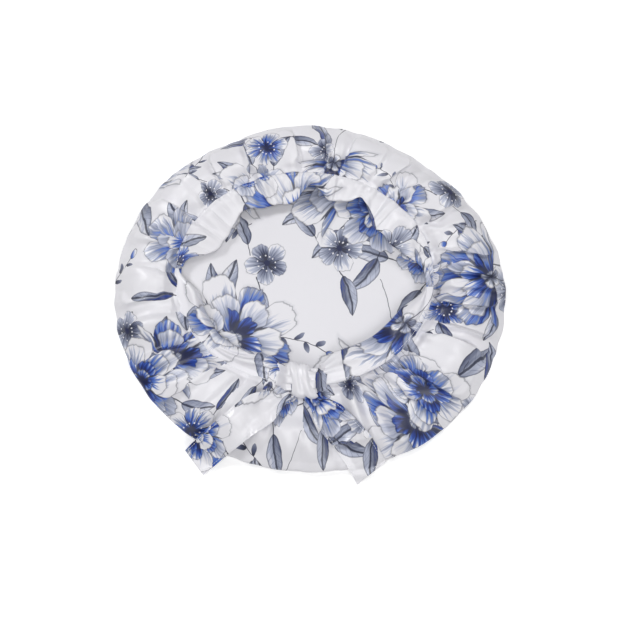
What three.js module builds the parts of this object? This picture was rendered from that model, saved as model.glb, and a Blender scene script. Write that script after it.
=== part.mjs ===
// A double-layer satin hair bonnet, laid flat on a table with its opening up.
// The crown is two round cloths, one inside the other. Their edge turns over at the outer fold,
// comes back over the top as a gathered ring, and is bound at the opening: by a folded tie strap
// along the front, and by a ruffled casing with elastic in it along the back. The two halves of
// the strap meet in a knot at the front, and their free tails lie over the ring.
// Lengths are in millimetres, +Z is up, +Y is the back of the bonnet, and it rests on z = 0.

import * as THREE from 'three';

// Crown, as it lies
const crownWidth = 338;
const crownDepth = 306;
const foldRadius = 4; // outside of the rounded outer fold
const clothThickness = 0.8;
const pieceGap = 0.3; // between pieces that lie against each other

// Opening, along the visible seam of its binding
const openingWidth = 224;
const openingDepth = 188;
const openingShiftX = -5; // from the crown's centre
const openingShiftY = 13;

// Gathered ring
const ringHeight = 19; // crest of the ring, without its pleats
const seamHeight = 15; // top of the ring's edge, where the binding grips it
const pleatHeight = 5;
const pleatCount = 34;

// Binding
const gripDepth = 6; // how far the ring's raw edge goes into the fold of the binding
const seamMargin = 1.5; // flat stretch of the ring outside the binding
const bandEdgeHeight = 10; // free inner edge of the front band, above the table
const casingWidth = 21;
const casingRuffle = 2.4;
const casingSlope = 0.25; // fall of the casing for each millimetre inwards
const ruffleCount = 21;
const elasticWidth = 10;
const elasticThickness = 1.4;

// Tie strap
const tieWidth = 28;
const tieRootWidth = 15; // where it is bunched, at the knot
const leftTailLength = 94;
const rightTailLength = 78;
const tieClearance = 0.6; // under a tail, above the highest pleats
const tipLift = 2; // underside of a tail's tip, above the table

// Knot
const knotLength = 40; // between the ends of the two bands
const knotInset = 4; // from the seam to the middle of the knot
const wrapWidth = 24;
const wrapDepth = 30;
const wrapThickness = 2.4;
const coreHeight = 8;
const coreSlack = 1.6; // at each side of the core, within the wrap

// Thread
const threadThickness = 0.6;
const stitchInset = 2; // from the edge that a row of stitches follows
const bartackWidth = 2;

// Directions round the opening, in degrees from +X
const rightJoinAngle = 3; // where the right band meets the casing
const leftJoinAngle = 168;
const knotAngle = 264.5;
const leftTailAngle = 217;
const rightTailAngle = 308;
const knotSpread = 18; // to each side of the knot, where it presses the ring flat

// Shapes, as shares of the sizes above
const outlineDents = [
  // The crown doesn't lie as a true ellipse. share is of the radius there
  { angle: 50, spread: 28, share: -0.036 },
  { angle: 117, spread: 12, share: -0.018 },
  { angle: 312, spread: 25, share: 0.018 },
];
const crestShare = 0.55; // of the way from the fold to the seam
const fullestShare = 0.8; // where the pleats stand highest
const ringRowShares = [0.09, 0.27, 0.5, 0.75, 0.9];
const pleatShares = [
  // across one pleat: its crease, its ridge, and its long side
  { across: 0, fullness: 0 },
  { across: 0.3, fullness: 1 },
  { across: 0.65, fullness: 0.45 },
];
const pleatWanderShare = 0.22; // of a pleat's width
const bandShares = [
  // width is the plan width, as a share of the tie's; crest is its roll, likewise
  { angle: 168, width: 0.62, crest: 0.13 },
  { angle: 200, width: 0.66, crest: 0.15 },
  { angle: 235, width: 0.86, crest: 0.09 },
  { angle: 264, width: 0.66, crest: 0.05 },
  { angle: 300, width: 1.0, crest: 0.06 },
  { angle: 335, width: 0.95, crest: 0.08 },
  { angle: 363, width: 0.78, crest: 0.12 },
];

const stackHeight = 2 * clothThickness + pieceGap; // crown and lining, one on the other
const slotTop = seamHeight + pieceGap;
const slotBottom = seamHeight - stackHeight - pieceGap;
const bindingTop = slotTop + clothThickness;
const bindingBottom = slotBottom - clothThickness;
const slotEnd = gripDepth + pieceGap;

const radians = (degrees) => THREE.MathUtils.degToRad(degrees);
const lerp = THREE.MathUtils.lerp;
const smooth = (x) => THREE.MathUtils.smoothstep(x, 0, 1);

// Distance from the crown's centre to an ellipse, in the direction a
function ellipseRadius(a, halfWidth, halfDepth, shiftX, shiftY) {
  const along = new THREE.Vector2(Math.cos(a) / halfWidth, Math.sin(a) / halfDepth);
  const shift = new THREE.Vector2(shiftX / halfWidth, shiftY / halfDepth);
  const half = along.dot(shift);
  const reach = half * half - along.lengthSq() * (shift.lengthSq() - 1);
  return (half + Math.sqrt(reach)) / along.lengthSq();
}

function turnBetween(a, b) {
  const turn = (a - b) % (2 * Math.PI);
  if (turn > Math.PI) return turn - 2 * Math.PI;
  return turn < -Math.PI ? turn + 2 * Math.PI : turn;
}

function crownRadius(a) {
  let share = 1;
  for (const dent of outlineDents) {
    const away = turnBetween(a, radians(dent.angle)) / radians(dent.spread);
    share += dent.share * Math.exp(-away * away);
  }
  return share * ellipseRadius(a, crownWidth / 2, crownDepth / 2, 0, 0);
}

const foldCentre = (a) => crownRadius(a) - foldRadius;
const seamRadius = (a) =>
  ellipseRadius(a, openingWidth / 2, openingDepth / 2, openingShiftX, openingShiftY);

// Height of the ring's cloth without its pleats, s being 0 at the fold and 1 at the seam
function ringTop(s) {
  if (s < crestShare) {
    const climb = Math.sin(((s / crestShare) * Math.PI) / 2);
    return lerp(2 * foldRadius, ringHeight, climb);
  }
  const fall = Math.cos((((s - crestShare) / (1 - crestShare)) * Math.PI) / 2);
  return lerp(seamHeight, ringHeight, fall * fall);
}

function pleatGrowth(s) {
  if (s < fullestShare) return (s / fullestShare) ** 1.2;
  return 1 - ((s - fullestShare) / (1 - fullestShare)) ** 2;
}

// Top of the ring with its pleats, fullness being 0 in a crease and 1 on a ridge
function ringSurface(a, s, fullness) {
  const away = turnBetween(a, radians(knotAngle)) / radians(knotSpread);
  const free = ringTop(s) + fullness * pleatHeight * pleatGrowth(s);
  return lerp(free, Math.min(ringTop(s), seamHeight), Math.exp(-(away ** 4)));
}

const at = (a, radius, z) => new THREE.Vector3(radius * Math.cos(a), radius * Math.sin(a), z);

// A closed solid from vertices and triangles, with its faces turned outwards
function closedGeometry(points, triangles) {
  let volume = 0;
  for (const [i, j, k] of triangles) {
    volume += points[i].dot(new THREE.Vector3().crossVectors(points[j], points[k]));
  }
  const faces = volume < 0 ? triangles.map(([i, j, k]) => [i, k, j]) : triangles;
  const geometry = new THREE.BufferGeometry();
  geometry.setAttribute(
    'position',
    new THREE.Float32BufferAttribute(points.flatMap((p) => p.toArray()), 3),
  );
  geometry.setIndex(faces.flat());
  return geometry;
}

// Triangles between rings of the same count, one after the other. From the ring turned on, the
// quads are split along their other diagonal
function skin(rings, count, turned = rings) {
  const triangles = [];
  for (let ring = 0; ring + 1 < rings; ring++) {
    for (let i = 0; i < count; i++) {
      const next = (i + 1) % count;
      const [a, b] = [ring * count + i, ring * count + next];
      const [c, d] = [b + count, a + count];
      if (ring < turned) triangles.push([a, b, c], [a, c, d]);
      else triangles.push([a, b, d], [b, c, d]);
    }
  }
  return triangles;
}

// Triangles over a flat section, wound the way its points are
function lid(section) {
  const clockwise = THREE.ShapeUtils.isClockWise(section);
  return THREE.ShapeUtils.triangulateShape(section, []).map(([i, j, k]) => {
    const same = THREE.ShapeUtils.isClockWise([section[i], section[j], section[k]]) === clockwise;
    return same ? [i, j, k] : [i, k, j];
  });
}

// A solid swept through sections. Each section is a list of flat points, and place puts one in space
function sweep(stations, sectionAt, place) {
  const sections = stations.map(sectionAt);
  const points = sections.flatMap((section, i) => section.map((p) => place(stations[i], p)));
  const count = sections[0].length;
  const triangles = skin(sections.length, count);
  const last = (sections.length - 1) * count;
  for (const [i, j, k] of lid(sections[0])) triangles.push([k, j, i]);
  for (const [i, j, k] of lid(sections.at(-1))) triangles.push([last + i, last + j, last + k]);
  return closedGeometry(points, triangles);
}

const steps = (from, to, count) =>
  Array.from({ length: count + 1 }, (_, i) => lerp(from, to, i / count));

// Crown and lining: two cloths of one form, one inside the other
function pleatColumns() {
  const crease = (i) => {
    const wander = Math.sin((2 * Math.PI * 11 * i) / pleatCount) * pleatWanderShare;
    return (2 * Math.PI * (i + wander)) / pleatCount;
  };
  const columns = [];
  for (let i = 0; i < pleatCount; i++) {
    for (const { across, fullness } of pleatShares) {
      columns.push({ angle: lerp(crease(i), crease(i + 1), across), fullness });
    }
  }
  return columns;
}

// The rows of one face of a cloth that lies depth below the crown's outer face
function clothRows(columns, depth) {
  const rows = [columns.map(({ angle }) => at(angle, foldCentre(angle), depth))];
  const bend = foldRadius - depth;
  for (const turn of [radians(-35), radians(30)]) {
    rows.push(
      columns.map(({ angle }) =>
        at(angle, foldCentre(angle) + bend * Math.cos(turn), foldRadius + bend * Math.sin(turn)),
      ),
    );
  }
  for (const s of ringRowShares) {
    rows.push(
      columns.map(({ angle, fullness }) =>
        at(
          angle,
          lerp(foldCentre(angle), seamRadius(angle) + seamMargin, s),
          ringSurface(angle, s, fullness) - depth,
        ),
      ),
    );
  }
  for (const inset of [-seamMargin, gripDepth]) {
    rows.push(
      columns.map(({ angle }) => at(angle, seamRadius(angle) - inset, seamHeight - depth)),
    );
  }
  return rows;
}

function clothShell(depth) {
  const columns = pleatColumns();
  const outer = clothRows(columns, depth);
  const inner = clothRows(columns, depth + clothThickness).reverse();
  const rows = [...outer, ...inner];
  const count = columns.length;
  const points = [...rows.flat(), at(0, 0, depth), at(0, 0, depth + clothThickness)];
  const triangles = skin(rows.length, count, outer.length);
  const [outside, inside] = [points.length - 2, points.length - 1];
  const last = (rows.length - 1) * count;
  for (let i = 0; i < count; i++) {
    const next = (i + 1) % count;
    triangles.push([outside, next, i], [inside, last + i, last + next]);
  }
  return closedGeometry(points, triangles);
}

// Binding. Its sections are drawn with x inwards from the seam and y up
const placeAtSeam = (a, p) => at(a, seamRadius(a) - p.x, p.y);

function bandShape(a) {
  const angle = THREE.MathUtils.radToDeg(a);
  const next = Math.max(
    1,
    bandShares.findIndex((row) => row.angle >= angle),
  );
  const [low, high] = [bandShares[next - 1], bandShares[next]];
  const t = smooth((angle - low.angle) / (high.angle - low.angle));
  return {
    width: tieWidth * lerp(low.width, high.width, t),
    crest: tieWidth * lerp(low.crest, high.crest, t),
  };
}

// The strap folded over the ring's raw edge, then its two layers lying together
function bandSection(a) {
  const { width, crest } = bandShape(a);
  const start = (slotTop + slotBottom) / 2;
  const middles = [0.15, 0.4, 0.7, 1].map((v) => {
    const fall = (bandEdgeHeight - start) * v * v;
    return new THREE.Vector2(lerp(slotEnd, width, v), start + crest * Math.sin(Math.PI * v) + fall);
  });
  const above = middles.map((p) => new THREE.Vector2(p.x, p.y + clothThickness));
  const below = middles.map((p) => new THREE.Vector2(p.x, p.y - clothThickness)).reverse();
  return [
    new THREE.Vector2(0, bindingTop),
    new THREE.Vector2(gripDepth, bindingTop),
    ...above,
    ...below,
    new THREE.Vector2(gripDepth, bindingBottom),
    new THREE.Vector2(0, bindingBottom),
    new THREE.Vector2(0, slotBottom),
    new THREE.Vector2(slotEnd, slotBottom),
    new THREE.Vector2(slotEnd, slotTop),
    new THREE.Vector2(0, slotTop),
  ];
}

const [rightJoin, leftJoin] = [radians(rightJoinAngle), radians(leftJoinAngle)];

// A small stretch of the opening, as an angle at the seam
const angleOf = (length, a) => length / seamRadius(a);

const knotHalfTurn = angleOf(knotLength / 2, radians(knotAngle));
const leftBandTurns = [
  leftJoin + angleOf(pieceGap, leftJoin),
  radians(knotAngle) - knotHalfTurn,
];
const rightBandTurns = [
  radians(knotAngle) + knotHalfTurn,
  rightJoin + 2 * Math.PI - angleOf(pieceGap, rightJoin),
];
const bandSteps = 22;

const band = ([from, to]) => sweep(steps(from, to, bandSteps), bandSection, placeAtSeam);

function square(x, y, width, height) {
  return [
    new THREE.Vector2(x, y),
    new THREE.Vector2(x + width, y),
    new THREE.Vector2(x + width, y + height),
    new THREE.Vector2(x, y + height),
  ];
}

const stitchSection = () =>
  square(stitchInset, bindingTop + pieceGap, threadThickness, threadThickness);
const bandStitching = ([from, to]) =>
  sweep(steps(from, to, bandSteps), stitchSection, placeAtSeam);

// Casing with the elastic. It falls inwards from the grip, and its upper layer is ruffled except
// at its two ends, where a bartack lies on it
const casingEnd = bartackWidth + 3 * pieceGap;
const flatEdge = stitchInset + 2 * threadThickness; // under the stitches, before the ruffles
const ruffleTurns = [rightJoin + angleOf(casingEnd, rightJoin), leftJoin - angleOf(casingEnd, leftJoin)];
const casingTurns = [rightJoin, ...steps(...ruffleTurns, ruffleCount * 2), leftJoin];
const fallAt = (x) => -casingSlope * Math.max(0, x - gripDepth);

function ruffleAt(a) {
  const along = THREE.MathUtils.clamp(THREE.MathUtils.inverseLerp(...ruffleTurns, a), 0, 1);
  return (casingRuffle * (1 - Math.cos(along * ruffleCount * 2 * Math.PI))) / 2;
}

function casingSection(a) {
  const ruffle = ruffleAt(a);
  const endWall = casingWidth - clothThickness;
  const point = (x, y) => new THREE.Vector2(x, y + fallAt(x));
  return [
    point(0, bindingTop),
    point(flatEdge, bindingTop),
    point(gripDepth, bindingTop + ruffle),
    point(endWall, bindingTop + ruffle),
    point(casingWidth, (slotTop + slotBottom) / 2 + ruffle / 2),
    point(endWall, bindingBottom),
    point(gripDepth, bindingBottom),
    point(0, bindingBottom),
    point(0, slotBottom),
    point(gripDepth, slotBottom),
    point(endWall - clothThickness, slotBottom),
    point(endWall - clothThickness, slotTop + ruffle),
    point(gripDepth, slotTop + ruffle),
    point(0, slotTop),
  ];
}

function elasticSection() {
  const middle = (slotTop + slotBottom) / 2;
  const from = slotEnd + pieceGap;
  return square(from, middle - elasticThickness / 2, elasticWidth, elasticThickness).map(
    (p) => new THREE.Vector2(p.x, p.y + fallAt(p.x)),
  );
}

// A bar of close stitches across the end of the elastic, on the end of the casing
function bartack(join, side) {
  const from = join + side * angleOf(pieceGap, join);
  const to = from + side * angleOf(bartackWidth, join);
  const section = () =>
    square(gripDepth, bindingTop + pieceGap, elasticWidth, threadThickness).map(
      (p) => new THREE.Vector2(p.x, p.y + fallAt(p.x)),
    );
  return sweep([from, to], section, placeAtSeam);
}

// Knot: the straps' bunched middle, and the turn of strap wrapped round it
const knotTurn = radians(knotAngle);
const knotPlace = at(knotTurn, seamRadius(knotTurn) - knotInset, 0);
const wrapBottom = bindingTop + pieceGap;
const coreBottom = wrapBottom + wrapThickness + pieceGap;
const coreMiddle = coreBottom + coreHeight / 2;
const wrapTop = coreBottom + coreHeight + pieceGap + wrapThickness;

// Points of an oval of the given half sizes, about the middle given
function oval(sides, halfWidth, halfHeight, middleX, middleY) {
  return Array.from({ length: sides }, (_, i) => {
    const turn = (2 * Math.PI * i) / sides;
    return new THREE.Vector2(
      middleX + halfWidth * Math.cos(turn),
      middleY + halfHeight * Math.sin(turn),
    );
  });
}

function knotCore() {
  const reach = knotHalfTurn - angleOf(pieceGap, knotTurn);
  const endHeight = stackHeight + 2 * clothThickness;
  const endMiddle = (bindingTop + bindingBottom) / 2;
  const endWidth = bandShape(knotTurn).width;
  // The sections fan out, so the wrap reaches furthest round at its inner end
  const innerEnd = seamRadius(knotTurn) - knotInset - wrapDepth / 2;
  const wrapShare = Math.atan2(wrapWidth / 2, innerEnd) / reach;
  const easeAt = (a) => smooth((Math.abs(a - knotTurn) / reach - wrapShare) / (1 - wrapShare));
  const section = (a) => {
    const ease = easeAt(a);
    const halfHeight = lerp(coreHeight, endHeight, ease) / 2;
    const halfWidth = lerp(wrapDepth / 2 - wrapThickness - coreSlack, endWidth / 2, ease);
    // Past the wrap it comes down to the bands, but stays above the ring's edge
    const lowest = bindingTop + pieceGap + halfHeight;
    const middle = Math.max(lerp(coreMiddle, endMiddle, ease), lowest);
    return oval(12, halfWidth, halfHeight, lerp(knotInset, endWidth / 2, ease), middle);
  };
  // It is straight within the wrap, and follows the seam at its ends
  const place = (a, p) => {
    const straight = seamRadius(knotTurn) / Math.cos(a - knotTurn);
    return at(a, lerp(straight, seamRadius(a), easeAt(a)) - p.x, p.y);
  };
  return sweep(steps(knotTurn - reach, knotTurn + reach, 12), section, place);
}

function knotWrap() {
  const halfHeight = (wrapTop - wrapBottom) / 2;
  const middle = wrapBottom + halfHeight;
  const shape = new THREE.Shape(oval(24, wrapDepth / 2, halfHeight, 0, middle));
  const [clearWidth, clearHeight] = [wrapDepth / 2 - wrapThickness, halfHeight - wrapThickness];
  shape.holes.push(new THREE.Path(oval(24, clearWidth, clearHeight, 0, middle)));
  const wrap = new THREE.ExtrudeGeometry(shape, { depth: wrapWidth, bevelEnabled: false });
  wrap.translate(0, 0, -wrapWidth / 2);
  wrap.rotateX(Math.PI / 2);
  wrap.rotateZ(knotTurn);
  return wrap.translate(knotPlace.x, knotPlace.y, 0);
}

// Tails. They lie on the ring, go over the outer fold, and end just above the table
function drapeHeight(x, y) {
  const a = Math.atan2(y, x);
  const radius = Math.hypot(x, y);
  const fold = foldCentre(a);
  const s = (fold - radius) / (fold - seamRadius(a) - seamMargin);
  if (s > 0) return ringSurface(a, Math.min(s, 1), 1) + tieClearance;
  const drop = smooth((radius - fold - foldRadius / 2) / (2.5 * foldRadius));
  return lerp(2 * foldRadius + tieClearance, tipLift, drop);
}

const rootHeight = bindingTop + tieClearance;

// From the middle of the knot to the root of a tail, clear of the wrap
function rootDistance(angle) {
  const turn = angle - knotTurn;
  const reach = Math.abs(Math.sin(turn)) * wrapWidth + Math.abs(Math.cos(turn)) * wrapDepth;
  return reach / 2 + pieceGap;
}


// A tail is built on lines along it and across it, and its stitches follow some of these
const stitchLine = 1 - stitchInset / (tieWidth / 2);
const tailColumns = [-1, -stitchLine, 0, stitchLine, 1];
const tailStations = (length) => [...steps(0, 1 - stitchInset / length, 13), 1];

// The point of a tail at the share along of its length and across of its half width
function tailPoint(angle, length, along, across) {
  const root = rootDistance(angle);
  const ease = smooth(along / 0.28);
  const halfWidth = lerp(tieRootWidth, tieWidth, ease) / 2;
  const forward = root + along * length;
  const sideways = across * halfWidth;
  const x = knotPlace.x + forward * Math.cos(angle) - sideways * Math.sin(angle);
  const y = knotPlace.y + forward * Math.sin(angle) + sideways * Math.cos(angle);
  const lowest = rootHeight * (1 - smooth(along / 0.25));
  return new THREE.Vector3(x, y, Math.max(lowest, drapeHeight(x, y)));
}

function tail(tailAngle, length) {
  const angle = radians(tailAngle);
  const thickness = 2 * clothThickness;
  const section = (along) => {
    const points = tailColumns.map((across) => ({
      across,
      z: tailPoint(angle, length, along, across).z,
    }));
    const below = points.map((p) => new THREE.Vector2(p.across * tieWidth, p.z));
    const above = points.map((p) => new THREE.Vector2(p.across * tieWidth, p.z + thickness));
    return [...below, ...above.reverse()];
  };
  const place = (along, p) => {
    const point = tailPoint(angle, length, along, p.x / tieWidth);
    return new THREE.Vector3(point.x, point.y, p.y);
  };
  return sweep(tailStations(length), section, place);
}

// One row of stitches down each long edge of a tail and across its end
function tailStitching(tailAngle, length) {
  const angle = radians(tailAngle);
  const lift = 2 * clothThickness + pieceGap;
  const stations = tailStations(length).slice(1, -1);
  const route = [
    ...stations.map((along) => [along, -stitchLine]),
    [stations.at(-1), 0],
    ...stations.toReversed().map((along) => [along, stitchLine]),
  ];
  const points = route.map(([along, across]) => {
    const p = tailPoint(angle, length, along, across);
    return new THREE.Vector3(p.x, p.y, p.z + lift);
  });
  const place = (i, p) => {
    const before = points[Math.max(i - 1, 0)];
    const after = points[Math.min(i + 1, points.length - 1)];
    const run = new THREE.Vector2(after.x - before.x, after.y - before.y).normalize();
    return new THREE.Vector3(
      points[i].x - run.y * p.x,
      points[i].y + run.x * p.x,
      points[i].z + p.y,
    );
  };
  const section = () => square(-threadThickness / 2, 0, threadThickness, threadThickness);
  return sweep([...points.keys()], section, place);
}

// Materials
const satin = new THREE.MeshStandardMaterial({ color: 0xe9e9ec, roughness: 0.42, metalness: 0 });
const liningSatin = new THREE.MeshStandardMaterial({ color: 0xe4e5ea, roughness: 0.45, metalness: 0 });
const strapSatin = new THREE.MeshStandardMaterial({ color: 0xdfe2ec, roughness: 0.42, metalness: 0 });
const elasticWeb = new THREE.MeshStandardMaterial({ color: 0xf0f0ee, roughness: 0.85, metalness: 0 });
const thread = new THREE.MeshStandardMaterial({ color: 0xf4f4f6, roughness: 0.6, metalness: 0 });

const casing = sweep(casingTurns, casingSection, placeAtSeam);
const elastic = sweep(casingTurns, elasticSection, placeAtSeam);
const casingStitching = sweep(casingTurns, stitchSection, placeAtSeam);

const pieces = [
  ['outer_shell', clothShell(0), satin],
  ['lining_shell', clothShell(clothThickness + pieceGap), liningSatin],
  ['left_band', band(leftBandTurns), strapSatin],
  ['right_band', band(rightBandTurns), strapSatin],
  ['left_band_stitching', bandStitching(leftBandTurns), thread],
  ['right_band_stitching', bandStitching(rightBandTurns), thread],
  ['back_casing', casing, satin],
  ['back_elastic', elastic, elasticWeb],
  ['casing_stitching', casingStitching, thread],
  ['left_bartack', bartack(leftJoin, -1), thread],
  ['right_bartack', bartack(rightJoin, 1), thread],
  ['knot_core', knotCore(), strapSatin],
  ['knot_wrap', knotWrap(), strapSatin],
  ['left_tie_tail', tail(leftTailAngle, leftTailLength), strapSatin],
  ['left_tie_stitching', tailStitching(leftTailAngle, leftTailLength), thread],
  ['right_tie_tail', tail(rightTailAngle, rightTailLength), strapSatin],
  ['right_tie_stitching', tailStitching(rightTailAngle, rightTailLength), thread],
];

// The bonnet stands with the middle of its whole extent at the origin
const bonnet = new THREE.Group();
for (const [name, geometry, material] of pieces) {
  const mesh = new THREE.Mesh(geometry, material);
  mesh.name = name;
  bonnet.add(mesh);
}
const extent = new THREE.Box3().setFromObject(bonnet).getCenter(new THREE.Vector3());
bonnet.position.set(-extent.x, -extent.y, 0);
bonnet.updateMatrixWorld(true);

export default bonnet;
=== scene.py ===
# A double-layer satin hair bonnet, laid flat on a table with its opening up: a gathered ring round a
# bound opening, with elastic along the back and a strap tied in a knot at the front.

import math

import bpy
import numpy as np
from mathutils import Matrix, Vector


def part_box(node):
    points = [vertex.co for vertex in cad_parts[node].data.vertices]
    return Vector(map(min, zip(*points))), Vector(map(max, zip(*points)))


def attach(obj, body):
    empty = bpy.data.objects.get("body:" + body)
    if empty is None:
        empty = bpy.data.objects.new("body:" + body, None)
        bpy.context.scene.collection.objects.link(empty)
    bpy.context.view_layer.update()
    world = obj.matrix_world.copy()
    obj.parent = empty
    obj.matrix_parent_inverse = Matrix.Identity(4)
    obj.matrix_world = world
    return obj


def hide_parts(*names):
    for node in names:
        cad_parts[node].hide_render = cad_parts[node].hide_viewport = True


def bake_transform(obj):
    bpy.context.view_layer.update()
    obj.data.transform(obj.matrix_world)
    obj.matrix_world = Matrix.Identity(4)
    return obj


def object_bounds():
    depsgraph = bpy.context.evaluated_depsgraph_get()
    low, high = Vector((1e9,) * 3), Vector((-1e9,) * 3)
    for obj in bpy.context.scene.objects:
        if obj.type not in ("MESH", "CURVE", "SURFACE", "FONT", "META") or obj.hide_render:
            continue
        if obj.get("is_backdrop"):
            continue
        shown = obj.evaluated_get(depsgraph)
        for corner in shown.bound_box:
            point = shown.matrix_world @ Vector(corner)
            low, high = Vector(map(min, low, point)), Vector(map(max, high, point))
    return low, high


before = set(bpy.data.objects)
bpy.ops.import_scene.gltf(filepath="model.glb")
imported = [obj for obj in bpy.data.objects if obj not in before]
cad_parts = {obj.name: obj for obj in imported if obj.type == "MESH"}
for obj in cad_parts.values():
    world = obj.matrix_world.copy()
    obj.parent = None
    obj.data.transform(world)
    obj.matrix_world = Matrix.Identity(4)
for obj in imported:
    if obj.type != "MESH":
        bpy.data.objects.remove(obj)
cad_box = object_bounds()
bpy.ops.object.select_all(action="DESELECT")


# Camera. It looks down on the bonnet from the tie's side, ten degrees off the vertical, through a
# lens long enough to keep the crown's outline almost round.
mm = 0.001
camera_height = math.radians(80)
camera_distance = 1.3
camera_lens = 84.8
looked_at = Vector((0.0088, -0.0172, 0.008))
bpy.ops.object.camera_add(
    location=looked_at
    + camera_distance * Vector((0, -math.cos(camera_height), math.sin(camera_height))),
    rotation=(math.radians(90) - camera_height, 0, 0),
)
camera = bpy.context.object
camera.data.lens = camera_lens
bpy.context.scene.camera = camera


# Table and light. A white table, a soft lamp low at the upper left like a window, one behind at the
# right, one almost overhead, a paler one at the right, and a bright room all round.
def soft_lamp(name, bearing, height, distance, size, power):
    """A square lamp facing the bonnet. bearing is in degrees from +X, height above the table."""
    bearing, height = math.radians(bearing), math.radians(height)
    along = math.cos(height)
    away = Vector((math.cos(bearing) * along, math.sin(bearing) * along, math.sin(height)))
    bpy.ops.object.light_add(type="AREA", location=away * distance)
    lamp = bpy.context.object
    lamp.name = name
    lamp.data.size = size
    lamp.data.energy = power
    lamp.rotation_euler = away.to_track_quat("Z", "Y").to_euler()


soft_lamp("window_lamp", bearing=150, height=42, distance=1.9, size=0.36, power=12.5)
soft_lamp("back_lamp", bearing=48, height=44, distance=1.9, size=0.4, power=8)
soft_lamp("ceiling_lamp", bearing=-95, height=80, distance=1.9, size=0.6, power=8.6)
soft_lamp("fill_lamp", bearing=-65, height=48, distance=1.8, size=0.8, power=8.6)

table_drop = 0.3 * mm
bpy.ops.mesh.primitive_plane_add(size=6, location=(0, 0, -table_drop))
table = bpy.context.object
table.name = "table_top"
bpy.ops.object.transform_apply(location=True, rotation=False, scale=False)
table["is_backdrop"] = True
table_white = bpy.data.materials.new("table_white")
table_white.use_nodes = True
nodes, links = table_white.node_tree.nodes, table_white.node_tree.links
inputs = nodes["Principled BSDF"].inputs
inputs["Base Color"].default_value = (0.93, 0.93, 0.93, 1)
inputs["Roughness"].default_value = 0.9
inputs["Specular IOR Level"].default_value = 0.0
inputs["Emission Color"].default_value = (1, 1, 1, 1)
seen = nodes.new("ShaderNodeLightPath")
glow = nodes.new("ShaderNodeMath")
glow.operation = "MULTIPLY"
glow.inputs[1].default_value = 0.28
links.new(seen.outputs["Is Camera Ray"], glow.inputs[0])
links.new(glow.outputs[0], inputs["Emission Strength"])
table.data.materials.append(table_white)

world = bpy.data.worlds.new("bright_room")
bpy.context.scene.world = world
world.use_nodes = True
nodes, links = world.node_tree.nodes, world.node_tree.links
room = nodes["Background"]
room.inputs["Color"].default_value = (1, 1, 1, 1)
seen = nodes.new("ShaderNodeLightPath")
straight = nodes.new("ShaderNodeMapRange")
straight.inputs["To Min"].default_value = 0.21
straight.inputs["To Max"].default_value = 1.0
links.new(seen.outputs["Is Camera Ray"], straight.inputs["Value"])
links.new(straight.outputs["Result"], room.inputs["Strength"])
bpy.context.scene.view_settings.view_transform = "Standard"


# Outer cloth. A round of woven satin, cut flat, gathered into the binding of the opening. It lies
# on the table, turns over at the outer fold, and comes back over the top in soft pleats.
cloth = 0.8 * mm
woven = 0.35 * mm
gap = 0.3 * mm
stack = 2 * cloth + gap
fold_radius = 4 * mm
crown_half = np.array((169, 153)) * mm
opening_half = np.array((112, 94)) * mm
opening_middle = np.array((-5, 13)) * mm
ring_height = 19 * mm
seam_height = 15 * mm
pleat_height = 5 * mm
pleat_count = 34
seam_margin = 1.5 * mm
grip_depth = 6 * mm
knot_bearing = math.radians(264.5)
knot_spread = math.radians(18)
knot_inset = 4 * mm
crest = 0.55
dents = [
    # bearing and spread in degrees, and how far the crown's edge goes out, as a share
    (50, 28, -0.036),
    (117, 12, -0.018),
    (312, 25, 0.018),
]
cut_radius = 236 * mm
edge_scallop = 1.6 * mm
random = np.random.default_rng(11)


def smooth(x):
    """0 up to 0, 1 from 1 on, and a soft slope between them."""
    x = np.clip(x, 0, 1)
    return x * x * (3 - 2 * x)


def lerp(a, b, t):
    """From a to b, by the share t."""
    return a + (b - a) * t


def turned_to(a, b):
    """The turn from b to a, from half a turn back to half a turn on."""
    return (a - b + math.pi) % (2 * math.pi) - math.pi


def bell(away, spread):
    """1 in the middle, falling softly to nothing past the spread."""
    return np.exp(-((away / spread) ** 2))


def near(a, bearing, spread):
    """1 at a bearing in degrees, falling to nothing past its spread."""
    return bell(turned_to(a, math.radians(bearing)), math.radians(spread))


def oval_radius(a, half, middle):
    """From the crown's middle to an oval, in the direction a."""
    ax, ay = np.cos(a) / half[0], np.sin(a) / half[1]
    sx, sy = middle[0] / half[0], middle[1] / half[1]
    along = ax * ax + ay * ay
    reach = ax * sx + ay * sy
    return (reach + np.sqrt(reach * reach - along * (sx * sx + sy * sy - 1))) / along


def crown_radius(a):
    """From the crown's middle to its outer edge, an oval with a few dents."""
    share = np.ones_like(a)
    for bearing, spread, dent in dents:
        share = share + dent * near(a, bearing, spread)
    return share * oval_radius(a, crown_half, (0, 0))


def fold_line(a):
    """From the crown's middle to where the cloth turns up to come back."""
    return crown_radius(a) - fold_radius


def seam_line(a):
    """From the crown's middle to the seam of the opening."""
    return oval_radius(a, opening_half, opening_middle)


def at(a, radius, z):
    """Points in the frame, from bearings, distances from the crown's middle, and heights."""
    x, y = radius * np.cos(a), radius * np.sin(a)
    return np.stack(np.broadcast_arrays(x + crown_middle[0], y + crown_middle[1], z), axis=-1)


# The crown's middle follows from the knot, which is the same on both sides of its own middle
knot_low, knot_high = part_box("knot_wrap")
knot_radius = float(seam_line(np.array(knot_bearing))) - knot_inset
knot_flat = knot_radius * np.array((math.cos(knot_bearing), math.sin(knot_bearing)))
crown_middle = (np.array(knot_low[:2]) + np.array(knot_high[:2])) / 2 - knot_flat

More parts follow.
